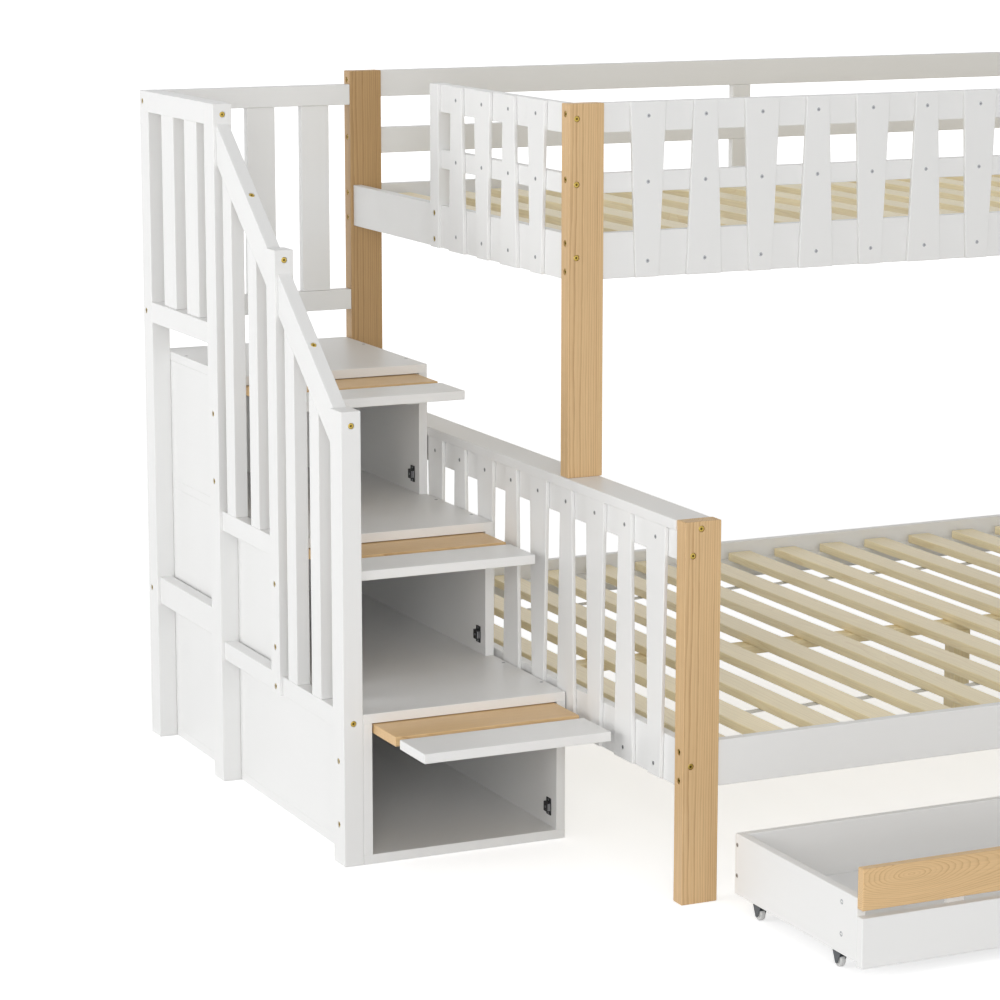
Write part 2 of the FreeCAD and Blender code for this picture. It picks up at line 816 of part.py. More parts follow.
def build_stair_frame(model, s, at, stair):
    """Outer posts, level rails, sloping handrails and balusters."""
    zero = at.zero
    front_y, mid_y, rear_y, back_y = (
        stair.front_y,
        stair.mid_y,
        stair.rear_y,
        stair.back_y,
    )
    handrail = stair.handrail
    rail_top, rail_mid, rear_low = stair.rail_top, stair.rail_mid, stair.rear_low
    middle, low = stair.middle, stair.low

    mid_top = handrail(mid_y[1]) + s.mid_post_stand
    model.add("stair_posts", model.board(stair.post_x, back_y, (zero, stair.top)))
    model.add("stair_posts", model.board(stair.post_x, rear_y, (zero, stair.top)))
    model.add("stair_posts", model.board(stair.post_x, mid_y, (stair.mid_post_foot, mid_top)))
    model.add(
        "stair_posts", model.board(stair.post_x, front_y, (zero, handrail(front_y[1])))
    )

    rear_span = (rear_y[1], back_y[0])
    middle_span = (mid_y[1], rear_y[0])
    front_span = (front_y[1], mid_y[0])
    model.add("stair_side_rails", model.board(stair.post_x, rear_span, rail_top))
    model.add("stair_side_rails", model.board(stair.post_x, rear_span, rail_mid))
    model.add("stair_side_rails", model.board(stair.thin_x, middle_span, middle))
    model.add("stair_side_rails", model.board(stair.thin_x, rear_span, rear_low))
    model.add("stair_side_rails", model.board(stair.thin_x, middle_span, low))
    model.add("stair_side_rails", model.board(stair.thin_x, front_span, low))

    for ys in (middle_span, front_span):
        tops = [handrail(y) for y in ys]
        bottoms = [top - s.handrail_height for top in tops]
        sloped_piece(model, stair.thin_x, "stair_handrails", ys, bottoms, tops)

    sections = (
        (middle_span, middle[1], s.middle_baluster_pitch),
        (front_span, low[1], s.front_baluster_pitch),
    )
    for span, bottom, pitch in sections:
        for k in range(2):
            high = span[1] - s.baluster_rear_gap - pitch * k
            ys = (high - s.baluster_width, high)
            tops = [handrail(y) - s.handrail_height for y in ys]
            sloped_piece(model, stair.thin_x, "stair_balusters", ys, (bottom,) * 2, tops)
        stair.top_bolts.append(high + s.top_bolt_from_baluster)
    for side in (-1, 1):
        start = middle_of(rear_span) + s.rear_baluster_pitch / 2 * side - s.rear_baluster_width / 2
        ys = from_low(start, s.rear_baluster_width)
        model.add(
            "stair_balusters", model.board(stair.thin_x, ys, (rail_mid[1], rail_top[0]))
        )

    # rear guard of the stair, between its back post and the bed's rear post
    rail_x = (stair.post_x[1], zero)
    for zs in (rail_top, rail_mid, rear_low):
        model.add("stair_back_guard", model.board(rail_x, stair.back_rail_y, zs))
    inset = (s.side_rail_thickness - s.back_board_thickness) / 2
    for k in range(3):
        high = -s.back_board_gap - s.back_board_pitch * k
        model.add(
            "stair_back_guard",
            model.board(
                (high - s.back_board_width, high),
                from_low(stair.back_rail_y[0] + inset, s.back_board_thickness),
                (rail_mid[1], rail_top[0]),
            ),
        )


def build_cabinet(model, s, at, stair):
    """Box steps: each level has its floor, two side panels and a back panel."""
    outer = stair.cabinet_x
    t = s.board_thickness
    left = (outer[0], outer[0] + t)
    right = (outer[1] - t, outer[1])
    inner = (left[1], right[0])
    rear = s.lower_width - s.cabinet_rear_gap
    landing_rear = s.lower_width - s.landing_rear_gap
    model.add("cabinet_base", model.board(outer, (stair.fronts[0], rear), (at.zero, t)))
    for k, front in enumerate(stair.fronts):
        floor = s.step_rise * k + t
        ceiling = s.step_rise * (k + 1)
        levels = (floor, ceiling)
        model.add("cabinet_left_panels", model.board(left, (front, rear), levels))
        model.add("cabinet_right_panels", model.board(right, (front, rear), levels))
        back_y = (rear - s.back_panel_thickness, rear)
        model.add("cabinet_back_panels", model.board(inner, back_y, levels))
        last = k == STEPS - 1
        label = "cabinet_landing" if last else "cabinet_treads"
        tread_y = (front, landing_rear if last else rear)
        model.add(label, model.board(outer, tread_y, from_low(ceiling, t)))
        build_door(model, s, k + 1, inner, front, floor, ceiling)


def build_door(model, s, number, inner, front, floor, ceiling):
    """A flip-up door, drawn open: it stands level, straight out under the tread."""
    name = f"door_{number}"
    xs = (inner[0] + s.door_side_gap, inner[1] - s.door_side_gap)
    t = s.board_thickness
    zs = (ceiling - s.door_top_gap - t, ceiling - s.door_top_gap)
    rear = front + s.pivot_inset * 2
    strip_y = (rear - s.door_strip_depth, rear)
    board_high = strip_y[0] - s.door_slot
    board_y = (board_high - s.door_board_depth, board_high)
    pivot_y = rear - s.pivot_inset
    pivot_z = zs[1] - s.pivot_inset

    # the strip is rounded where it turns under the tread
    body = model.body()
    corners = [
        (strip_y[0], zs[0]),
        (strip_y[1], zs[0]),
        (strip_y[1], zs[1]),
        (strip_y[0], zs[1]),
    ]
    sketch = model.outline(body, "YZ_Plane", xs[0], corners)
    pad = model.pad(body, sketch, xs[1] - xs[0])
    model.doc.recompute()
    fillet = body.newObject("PartDesign::Fillet", "Rounding")
    edge = edge_along_x(pad.Shape, strip_y[1].value, zs[1].value)
    fillet.Base = (pad, [edge])
    model.bind(fillet, "Radius", s.door_edge_radius)
    body.Tip = fillet

    # pivot pins: fixed in the side panels, running in the strip
    bore = s.pivot_radius + s.pivot_clearance
    holes = []
    for way, panel in ((PLUS_X, inner[0]), (MINUS_X, inner[1])):
        start = way.along((panel, pivot_y, pivot_z), -s.pivot_depth_panel)
        length = s.pivot_depth_panel + s.door_side_gap + s.pivot_depth_door
        pin = model.rod(start, way, s.pivot_radius, length - s.pivot_clearance)
        model.add("door_pivots", Piece(pin))
        holes.append(model.rod(start, way, bore, length))
        model.hole(holes[-1], way, start, length, bore)
    strip = model.cut(body, model.group(*holes))
    model.add(f"{name}_strip", Piece(strip))

    # the board and the battens that tie it to the strip, on the inner side
    model.add(f"{name}_board", model.board(xs, board_y, zs))
    batten_y = (board_y[0] + s.door_batten_margin, strip_y[1] - s.door_batten_margin)
    batten_z = (zs[0] - s.door_batten_thickness, zs[0])
    for low in (
        xs[0] + s.door_batten_inset,
        xs[1] - s.door_batten_inset - s.door_batten_width,
    ):
        batten_x = from_low(low, s.door_batten_width)
        model.add(f"{name}_board", model.board(batten_x, batten_y, batten_z))

    # magnetic catch on the right side panel, its pole strips and the door's strike
    catch_z = floor + s.catch_height
    wall = inner[1]
    strike_y = rear - (zs[1] - catch_z)
    plate_x = (wall - s.catch_plate_thickness, wall)
    body_x = (plate_x[0] - s.catch_body_reach, plate_x[0])
    strike_x = (xs[1] - s.strike_width, xs[1])
    model.add(
        f"{name}_board",
        model.board(
            strike_x,
            from_low(strike_y - s.strike_height / 2, s.strike_height),
            (zs[0] - s.strike_thickness, zs[0]),
        ),
    )
    pole_start = front + t + s.strike_thickness + s.pole_air_gap
    catch_start = pole_start + s.pole_depth
    plate = model.board(
        plate_x,
        from_low(catch_start, s.catch_plate_depth),
        from_low(catch_z - s.catch_plate_height / 2, s.catch_plate_height),
    )
    housing = model.board(
        body_x,
        from_low(catch_start, s.catch_body_depth),
        from_low(catch_z - s.catch_body_height / 2, s.catch_body_height),
    )
    plate.obj = model.fuse(plate.obj, housing.obj)
    model.add("catch_bodies", plate)
    for side in (-1, 1):
        centre = body_x[0] + s.catch_body_reach / 2 + (s.catch_body_reach / 4) * side
        model.add(
            "catch_poles",
            model.board(
                from_low(centre - s.pole_width / 2, s.pole_width),
                from_low(pole_start, s.pole_depth),
                from_low(catch_z - s.pole_height / 2, s.pole_height),
            ),
        )


def edge_along_x(shape, y, z):
    """The name of the edge that runs along X at the given y and z."""
    for number, edge in enumerate(shape.Edges, start=1):
        ends = [vertex.Point for vertex in edge.Vertexes]
        if all(abs(p.y - y) < 1e-3 and abs(p.z - z) < 1e-3 for p in ends):
            return f"Edge{number}"
    raise RuntimeError("no edge there")


def build_drawer(model, s, at, name, xs, front):
    """A drawer on four casters: boards, floor, slotted front and wheels."""
    t = s.drawer_board
    behind = front + s.drawer_front_thickness
    rear = behind + s.drawer_depth
    heights = (s.drawer_bottom, s.drawer_top)
    left = (xs[0], xs[0] + t)
    right = (xs[1] - t, xs[1])
    inner = (left[1], right[0])
    floor_z = (s.drawer_floor_top - s.drawer_floor_thickness, s.drawer_floor_top)
    boards = (
        drawer_side(model, s, left, (behind, rear), heights, left[0], PLUS_X),
        drawer_side(model, s, right, (behind, rear), heights, right[1], MINUS_X),
        model.board(inner, (rear - t, rear), heights),
        model.board(inner, (behind, rear - t), floor_z),
    )
    model.add(f"{name}_box", *boards)

    front_y = (front, behind)
    model.add(
        f"{name}_front_strip",
        model.board(xs, front_y, (s.front_strip_bottom, s.front_strip_top)),
    )
    model.add(
        f"{name}_front_board",
        model.board(xs, front_y, (s.front_board_bottom, s.front_board_top)),
    )
    batten_z = (s.drawer_floor_top, s.front_strip_top - s.front_batten_top_margin)
    first = xs[0] + s.front_batten_inset
    last = xs[1] - s.front_batten_inset - s.front_batten_width
    for start in (first, (first + last) / 2, last):
        model.add(
            f"{name}_front_board",
            model.board(
                from_low(start, s.front_batten_width),
                from_low(behind, s.front_batten_thickness),
                batten_z,
            ),
        )

    # cam nuts near the front and screws near the rear, on both outer faces
    cam_y = behind + s.cam_setback
    levels = fixing_levels(s)
    for face, inward, outward in ((xs[0], PLUS_X, MINUS_X), (xs[1], MINUS_X, PLUS_X)):
        for z in levels:
            cam = model.rod((face, cam_y, z), inward, s.cam_radius, s.cam_depth)
            model.add(f"{name}_screws", Piece(cam))
        points = [(face, rear - t / 2, z) for z in levels]
        model.screws(f"{name}_screws", points, outward)

    number = 0
    for setback in (s.caster_front, s.caster_rear):
        for x in (xs[0] + s.caster_inset, xs[1] - s.caster_inset):
            number += 1
            build_caster(model, s, f"{name}_wheel_{number}", f"{name}_forks", x, front + setback)


def fixing_levels(s):
    """Heights of the fixings on a drawer's side boards."""
    return (s.drawer_bottom + s.drawer_screw_lift, s.drawer_top - s.drawer_screw_drop)


def drawer_side(model, s, xs, ys, zs, face, inward):
    """A side board with the pockets that take its cam nuts."""
    side = model.board(xs, ys, zs)
    cam_y = ys[0] + s.cam_setback
    radius = s.cam_radius + s.pivot_clearance
    pockets = [
        model.rod((face, cam_y, z), inward, radius, s.cam_depth)
        for z in fixing_levels(s)
    ]
    return Piece(model.cut(side.obj, model.group(*pockets)))


def build_caster(model, s, wheel_name, fork_name, x, y):
    """A small caster: a fork of plate and two cheeks, its axle and its wheel."""
    axle_z = s.wheel_radius
    half = s.wheel_width / 2 + s.wheel_side_gap + s.fork_plate
    top = s.drawer_bottom
    plate = model.board(
        (x - half, x + half),
        from_low(y - s.fork_length / 2, s.fork_length),
        (top - s.fork_plate, top),
    )
    body = model.body()
    corners = [
        (y - s.fork_length / 2, top - s.fork_plate),
        (y - s.fork_tip, s.wheel_radius - s.fork_tip),
        (y + s.fork_tip, s.wheel_radius - s.fork_tip),
        (y + s.fork_length / 2, top - s.fork_plate),
    ]
    cheeks = []
    for start in (x - half, x + half - s.fork_plate):
        sketch = model.outline(body, "YZ_Plane", start, corners)
        cheeks.append(model.pad(body, sketch, s.fork_plate))
    axle = model.rod((x - half, y, axle_z), PLUS_X, s.axle_radius, half * 2)
    fork = model.fuse(plate.obj, body, axle)
    model.add(fork_name, Piece(fork))

    start = x - s.wheel_width / 2
    rim = s.wheel_radius - s.wheel_edge
    tread_width = s.wheel_width - s.wheel_edge * 2
    tread = (start + s.wheel_edge, y, axle_z)
    far = (start + s.wheel_edge + tread_width, y, axle_z)
    near = (start, y, axle_z)
    wheel = model.fuse(
        model.taper(near, PLUS_X, rim, s.wheel_radius, s.wheel_edge),
        model.rod(tread, PLUS_X, s.wheel_radius, tread_width),
        model.taper(far, PLUS_X, s.wheel_radius, rim, s.wheel_edge),
    )
    bore = model.rod(near, PLUS_X, s.axle_radius + s.axle_clearance, s.wheel_width)
    model.add(wheel_name, Piece(model.cut(wheel, bore)))


def build_drawers(model, s, at):
    """The head drawer is drawn pulled out, the foot drawer closed."""
    low = at.inner_x[0] + s.drawer_side_gap
    middle = s.bed_length / 2
    head_x = (low, middle - s.drawer_middle_gap / 2)
    foot_x = (s.bed_length - head_x[1], s.bed_length - low)
    build_drawer(model, s, at, "head_drawer", head_x, -s.drawer_pull)
    build_drawer(model, s, at, "foot_drawer", foot_x, at.zero)


def place_bed_bolts(model, s, at):
    """Bolts through the posts into the rails, at both ends of the bed."""
    guard_levels = [middle_of(at.guard_top), middle_of(at.guard_mid)]
    rear_levels = [middle_of(at.guard_top), middle_of(at.rear_mid)]
    upper = middle_of(at.upper_rail_z)
    lower = s.lower_rail_bottom + s.side_rail_height / 2
    lower_end = s.lower_rail_bottom + s.end_rail_height / 2
    end_top = at.cap_bottom - s.end_top_bolt_drop
    spread = s.bolt_pair_spread
    staggered = [z + s.bolt_stagger for z in guard_levels]
    rear_staggered = [z + s.bolt_stagger for z in rear_levels]
    upper_pair = [upper - spread, upper + spread]
    lower_pair = [lower - spread, lower + spread]
    front_y = s.post_depth / 2
    upper_y = at.upper_front + s.post_depth / 2
    rear_y = s.lower_width - s.post_depth / 2
    through_width = s.post_width + s.bolt_grip
    through_depth = s.post_depth + s.bolt_grip
    cap_z = at.cap_bottom + s.cap_bolt_lift

    rail_x = middle_of(at.end_rail_x)
    cap_x = middle_of(at.cap_x)
    ends = (
        (at.zero, PLUS_X, rail_x, cap_x, []),
        (s.bed_length, MINUS_X, s.bed_length - rail_x, s.bed_length - cap_x, guard_levels),
    )
    for face, way, rail_x, cap_x, end_guard in ends:
        for y, levels in (
            (rear_y, rear_staggered + upper_pair + lower_pair),
            (upper_y, staggered + upper_pair),
            (front_y, lower_pair),
        ):
            for z in levels:
                model.bolt((face, y, z), way, through_width)
        for y, drive, levels in (
            (at.zero, PLUS_Y, [end_top, lower_end]),
            (s.lower_width, MINUS_Y, [end_top, lower_end, upper] + end_guard),
            (at.upper_front, PLUS_Y, guard_levels + [upper]),
        ):
            for z in levels:
                model.bolt((rail_x, y, z), drive, through_depth)
        model.bolt((cap_x, at.zero, cap_z), PLUS_Y, through_depth)
        model.bolt((cap_x, s.lower_width, cap_z), MINUS_Y, through_depth)

    entrance_y = s.entrance_post_start + s.entrance_post_depth / 2
    for z in upper_pair:
        length = s.entrance_post_thickness - s.bolt_recess_depth
        model.bolt((at.zero, entrance_y, z), PLUS_X, length)


def place_stair_bolts(model, s, stair):
    """Bolts through the outer posts into the cabinet and the rails."""
    face = stair.post_x[0]
    into_panel = s.stair_post_thickness + s.board_thickness - s.panel_bolt_wall
    into_rail = s.stair_post_thickness + s.bolt_grip
    rails = (stair.rail_top, stair.rail_mid, stair.rear_low)
    for zs in rails:
        model.bolt((face, middle_of(stair.back_rail_y), middle_of(zs)), PLUS_X, into_rail)
    for level, (ys, drop) in enumerate(
        (
            (stair.front_y, s.front_panel_bolt_drop),
            (stair.mid_y, s.middle_panel_bolt_drop),
            (stair.rear_y, s.rear_panel_bolt_drop),
        )
    ):
        low = s.step_rise * level + s.board_thickness + s.panel_bolt_low
        high = s.step_rise * (level + 1) - drop
        for z in (low, high):
            model.bolt((face, middle_of(ys), z), PLUS_X, into_panel)
    foot_z = stair.mid_post_foot + s.mid_post_bolt_lift
    model.bolt((face, middle_of(stair.mid_y), foot_z), PLUS_X, into_panel)

    x = stair.centre_x
    for ys, z in (
        (stair.rear_y, middle_of(stair.rail_top)),
        (stair.mid_y, stair.handrail(stair.mid_y[1]) - s.mid_handrail_bolt_drop),
        (stair.front_y, stair.handrail(stair.front_y[1]) - s.front_handrail_bolt_drop),
        (stair.front_y, middle_of(stair.low)),
    ):
        model.bolt((x, ys[0], z), PLUS_Y, ys[1] - ys[0] + s.bolt_grip)
    for zs in rails:
        z = middle_of(zs) + s.bolt_stagger
        model.bolt((x, s.lower_width, z), MINUS_Y, s.stair_post_depth + s.bolt_grip)

    # square to the sloping handrails, from their top faces
    slope = s.handrail_slope
    run = Size(math.hypot(1, slope.value), f"sqrt(1 + {slope.text} * {slope.text})")
    turn = Rotation(Vector(1, 0, 0), 180 + math.degrees(math.atan(slope.value)))
    way = Way(turn, (0, slope / run, -(Size.of(1) / run)))
    for y in stair.top_bolts:
        model.bolt([x, y, stair.handrail(y)], way, s.top_bolt_length)


def check(model):
    """Recomputes the document, and stops where a feature of it failed."""
    model.doc.recompute()
    for obj in model.doc.Objects:
        if "Invalid" in obj.State or "Error" in obj.State:
            raise RuntimeError(f"{obj.Label} failed: {obj.State}")


def main():
    model = Model("BunkBed")
    s = model.size
    at = layout(s)
    build_posts(model, s, at)
    build_end_panels(model, s, at)
    build_lower_bed(model, s, at)
    build_upper_bed(model, s, at)
    build_guards(model, s, at)
    stair = stair_layout(s, at)
    build_stair_frame(model, s, at, stair)
    build_cabinet(model, s, at, stair)
    build_drawers(model, s, at)
    place_bed_bolts(model, s, at)
    place_stair_bolts(model, s, stair)
    nodes = model.build_nodes()
    check(model)
    os.makedirs("parts", exist_ok=True)
    for label, node in nodes.items():
        if node.Shape.isNull() or not node.Shape.isValid():
            raise RuntimeError(f"{label} has no valid shape")
        node.Shape.exportStep(f"parts/{label}.step")
        box = node.Shape.BoundBox
        print(
            f"{label}: {len(node.Shape.Solids)} solids, {node.Shape.Volume / 1000:.1f} cm3,"
            f" x {box.XMin:.1f}..{box.XMax:.1f}, y {box.YMin:.1f}..{box.YMax:.1f},"
            f" z {box.ZMin:.1f}..{box.ZMax:.1f}"
        )
    print(len(nodes), "nodes")


main()
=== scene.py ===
"""Dresses the bunk bed: rounded boards, hardware, wood, paint and the studio round it."""

import logging
import math
from dataclasses import dataclass, field, replace
from enum import Enum

import bmesh
import bpy
import numpy as np
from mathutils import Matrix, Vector


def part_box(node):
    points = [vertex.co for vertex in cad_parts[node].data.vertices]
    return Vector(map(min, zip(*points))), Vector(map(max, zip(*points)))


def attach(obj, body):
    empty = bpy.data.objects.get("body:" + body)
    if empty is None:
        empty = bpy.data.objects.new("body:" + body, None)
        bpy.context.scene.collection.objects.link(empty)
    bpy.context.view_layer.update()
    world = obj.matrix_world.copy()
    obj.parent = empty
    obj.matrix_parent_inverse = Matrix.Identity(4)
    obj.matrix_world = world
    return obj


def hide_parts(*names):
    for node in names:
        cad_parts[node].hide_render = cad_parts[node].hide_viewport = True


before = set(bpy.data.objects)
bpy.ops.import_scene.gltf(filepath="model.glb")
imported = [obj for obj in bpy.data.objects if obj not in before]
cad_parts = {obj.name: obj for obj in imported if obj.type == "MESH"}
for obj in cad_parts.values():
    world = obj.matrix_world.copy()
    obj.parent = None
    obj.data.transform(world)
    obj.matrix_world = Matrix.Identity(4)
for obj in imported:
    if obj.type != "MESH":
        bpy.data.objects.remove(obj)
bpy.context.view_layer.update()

LOG = logging.getLogger("bunk_bed")
MM = 0.001
SEED = 20
ROOT = "bed"

Array = np.ndarray
Random = np.random.Generator
Faces = list[tuple[int, ...]]
Triple = tuple[float, float, float]
Colour = tuple[float, float, float, float]
Piece = bpy.types.Object
Socket = bpy.types.NodeSocket


class Grain(Enum):
    """The axis that a board's grain runs along."""

    X = 0
    Y = 1
    Z = 2
    LONGEST = 3


class Tool(Enum):
    """The recess in a fastener's head that a driver fits."""

    CROSS = "cross"
    HEX = "hex"


def srgb(red: int, green: int, blue: int) -> Colour:
    """Turns a colour of 0 to 255 a channel into the linear one that shaders take.

    Args:
        red: Red, 0 to 255.
        green: Green, 0 to 255.
        blue: Blue, 0 to 255.

    Returns:
        Linear red, green, blue and an alpha of 1.
    """
    shares = np.array([red, green, blue]) / 255
    low = shares / 12.92
    high = ((shares + 0.055) / 1.055) ** 2.4
    linear = np.where(shares <= 0.04045, low, high)
    return (*(float(v) for v in linear), 1.0)


# ---------------------------------------------------------------- reading the solids


def welded(node: str) -> tuple[Array, Array]:
    """Reads a CAD node with its coincident points joined.

    Args:
        node: The node's name.

    Returns:
        Points (n, 3) in metres, and triangles (m, 3) as point numbers.
    """
    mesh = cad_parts[node].data
    points = np.empty(len(mesh.vertices) * 3, np.float32)
    mesh.vertices.foreach_get("co", points)
    corners = np.empty(len(mesh.loops), np.int32)
    mesh.loops.foreach_get("vertex_index", corners)
    grid = np.round(points.reshape(-1, 3).astype(float) * 1e5).astype(np.int64)
    unique, number = np.unique(grid, axis=0, return_inverse=True)
    return unique / 1e5, number.ravel()[corners].reshape(-1, 3)


def islands(node: str) -> list[Array]:
    """Splits a CAD node into its separate solids.

    Every point starts with its own number, and each edge hands the lower number on
    until nothing changes, so that points of one solid end with one number.

    Args:
        node: The node's name.

    Returns:
        The points (n, 3) of each solid, ordered by their place.
    """
    points, triangles = welded(node)
    labels = np.arange(len(points))
    first = triangles.ravel()
    second = np.roll(triangles, 1, axis=1).ravel()
    while True:
        lowest = np.minimum(labels[first], labels[second])
        passed = labels.copy()
        np.minimum.at(passed, first, lowest)
        np.minimum.at(passed, second, lowest)
        passed = passed[passed]
        if np.array_equal(passed, labels):
            break
        labels = passed
    return [points[labels == label] for label in np.unique(labels[first])]


def extent(points: Array) -> tuple[Array, Array]:
    """Gives the lowest and the highest corner of points (n, 3)."""
    return points.min(0), points.max(0)


def eight_corners(points: Array) -> Array:
    """Finds a six-sided solid's corners, as its furthest points along the diagonals.

    Args:
        points: The solid's points (n, 3).

    Returns:
        Corners (2, 2, 2, 3), numbered by low or high x, y and z.
    """
    corners = np.empty((2, 2, 2, 3))
    for i, j, k in np.ndindex(2, 2, 2):
        way = np.array([2 * i - 1, 2 * j - 1, 2 * k - 1])
        corners[i, j, k] = points[np.argmax(points @ way)]
    return corners


def box_corners(low: Array, high: Array) -> Array:
    """Gives a plain box's eight corners.

    Args:
        low: Its lowest corner.
        high: Its highest corner.

    Returns:
        Corners (2, 2, 2, 3), numbered by low or high x, y and z.
    """
    both = np.array([low, high], float)
    i, j, k = np.indices((2, 2, 2))
    return np.stack([both[i, 0], both[j, 1], both[k, 2]], axis=-1)


def node_box(node: str) -> Array:
    """Gives the corners (2, 2, 2, 3) of a CAD node's bounding box."""
    return box_corners(*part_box(node))


# ------------------------------------------------------------------ surfaces on a grid


@dataclass
class Surface:
    """Points, faces and the wood coordinates of each point."""

    points: Array
    faces: Faces
    grain: Array | None = None
    tone: Array | None = None

    def bare(self) -> "Surface":
        """Gives the same surface without wood coordinates."""
        return Surface(self.points, self.faces)

    @staticmethod
    def joined(parts: list["Surface"]) -> "Surface":
        """Joins surfaces into one.

        Args:
            parts: The surfaces.

        Returns:
            One surface that holds them all, with wood coordinates if each has them.
        """
        faces: Faces = []
        start = 0
        for part in parts:
            faces.extend(tuple(start + v for v in face) for face in part.faces)
            start += len(part.points)
        points = np.concatenate([part.points for part in parts])
        if any(part.grain is None for part in parts):
            return Surface(points, faces)
        grain = np.concatenate([part.grain for part in parts])
        tone = np.concatenate([part.tone for part in parts])
        return Surface(points, faces, grain, tone)


def grid_faces(rows: int, columns: int, closed: bool) -> Faces:
    """Lists the quads of a grid of points, row by row.

    Args:
        rows: Number of rows.
        columns: Number of points in a row.
        closed: Whether the last column meets the first.

    Returns:
        Faces that point outwards when columns turn anticlockwise and rows go up.
    """
    across = columns if closed else columns - 1
    row, column = np.meshgrid(np.arange(rows - 1), np.arange(across), indexing="ij")
    beside = (column + 1) % columns
    quads = np.stack(
        [
            row * columns + column,
            row * columns + beside,
            (row + 1) * columns + beside,
            (row + 1) * columns + column,
        ],
        axis=-1,
    )
    return [tuple(quad) for quad in quads.reshape(-1, 4).tolist()]


def ball_of_corners(steps: int) -> tuple[Array, Array, Faces]:
    """Lays out a ball that is cut into eight, from which a rounded block grows.

    Latitude and longitude run in quarter turns, and each quarter repeats its end
    angle: n = (cos lat cos lon, cos lat sin lon, sin lat). Every point also keeps
    the signs of the corner that it belongs to.

    Args:
        steps: Points along each quarter turn.

    Returns:
        Unit normals (m, 3), corner signs (m, 3) and faces.
    """
    quarter = np.linspace(0, math.pi / 2, steps)
    latitude = np.concatenate([quarter - math.pi / 2, quarter])
    longitude = np.concatenate([quarter + math.pi / 2 * q for q in range(4)])
    lat, lon = np.meshgrid(latitude, longitude, indexing="ij")
    normals = np.stack(
        [np.cos(lat) * np.cos(lon), np.cos(lat) * np.sin(lon), np.sin(lat)], axis=-1
    )
    side_x = np.repeat([1, -1, -1, 1], steps)
    side_y = np.repeat([1, 1, -1, -1], steps)
    side_z = np.repeat([-1, 1], steps)
    signs = np.stack(
        [
            np.broadcast_to(side_x, lat.shape),
            np.broadcast_to(side_y, lat.shape),
            np.broadcast_to(side_z[:, None], lat.shape),
        ],
        axis=-1,
    )
    rows, columns = lat.shape
    quads = grid_faces(rows, columns, closed=True)
    quads.append(tuple(reversed(range(columns))))
    quads.append(tuple(range((rows - 1) * columns, rows * columns)))
    apart = np.round(signs.reshape(-1, 3) * 9 + normals.reshape(-1, 3), 6)
    _, keep, number = np.unique(apart, axis=0, return_index=True, return_inverse=True)
    number = number.ravel()
    faces = []
    for quad in quads:
        face = [int(number[v]) for v in quad]
        face = [v for k, v in enumerate(face) if v != face[k - 1]]
        if len(face) > 2:
            faces.append(tuple(face))
    return normals.reshape(-1, 3)[keep], signs.reshape(-1, 3)[keep], faces


BALL = ball_of_corners(4)


def rounded_block(
    corners: Array,
    edge: float,
    grain: Grain,
    rng: Random,
    in_log: Triple | None = None,
) -> Surface:
    """Makes a block with rounded edges between any eight corners.

    In the block's own measure a point is p = s (h - r) + r n, with corner signs s,
    half sizes h, edge radius r and ball normal n. Its three shares (p / h + 1) / 2
    then blend the eight corners, which tapers or slants the block.

    Args:
        corners: Corners (2, 2, 2, 3) in metres.
        edge: Radius of the edges in metres.
        grain: Axis of the wood's grain.
        rng: Source of the board's place in the log.
        in_log: Where the board's middle lies in the log, or None for a random place.

    Returns:
        The closed surface with its wood coordinates, along, across and deep.
    """
    normals, signs, faces = BALL
    half = np.array(
        [
            np.linalg.norm((corners[1] - corners[0]).mean((0, 1))),
            np.linalg.norm((corners[:, 1] - corners[:, 0]).mean((0, 1))),
            np.linalg.norm((corners[:, :, 1] - corners[:, :, 0]).mean((0, 1))),
        ]
    ) / 2
    radius = min(edge, float(half.min()) * 0.6)
    local = signs * (half - radius) + radius * normals
    share = (local / half + 1) / 2
    pairs = np.stack([1 - share, share], axis=1)
    points = np.einsum("pi,pj,pk,ijkc->pc", pairs[..., 0], pairs[..., 1], pairs[..., 2], corners)
    along = int(np.argmax(half)) if grain is Grain.LONGEST else grain.value
    others = sorted((a for a in range(3) if a != along), key=lambda a: -half[a])
    place = rng.uniform([-3, -0.03, -0.012], [3, 0.03, 0.012])
    wood = local[:, [along, *others]] + (place if in_log is None else in_log)
    tone = np.full(len(points), rng.uniform())
    return Surface(points, list(faces), wood, tone)


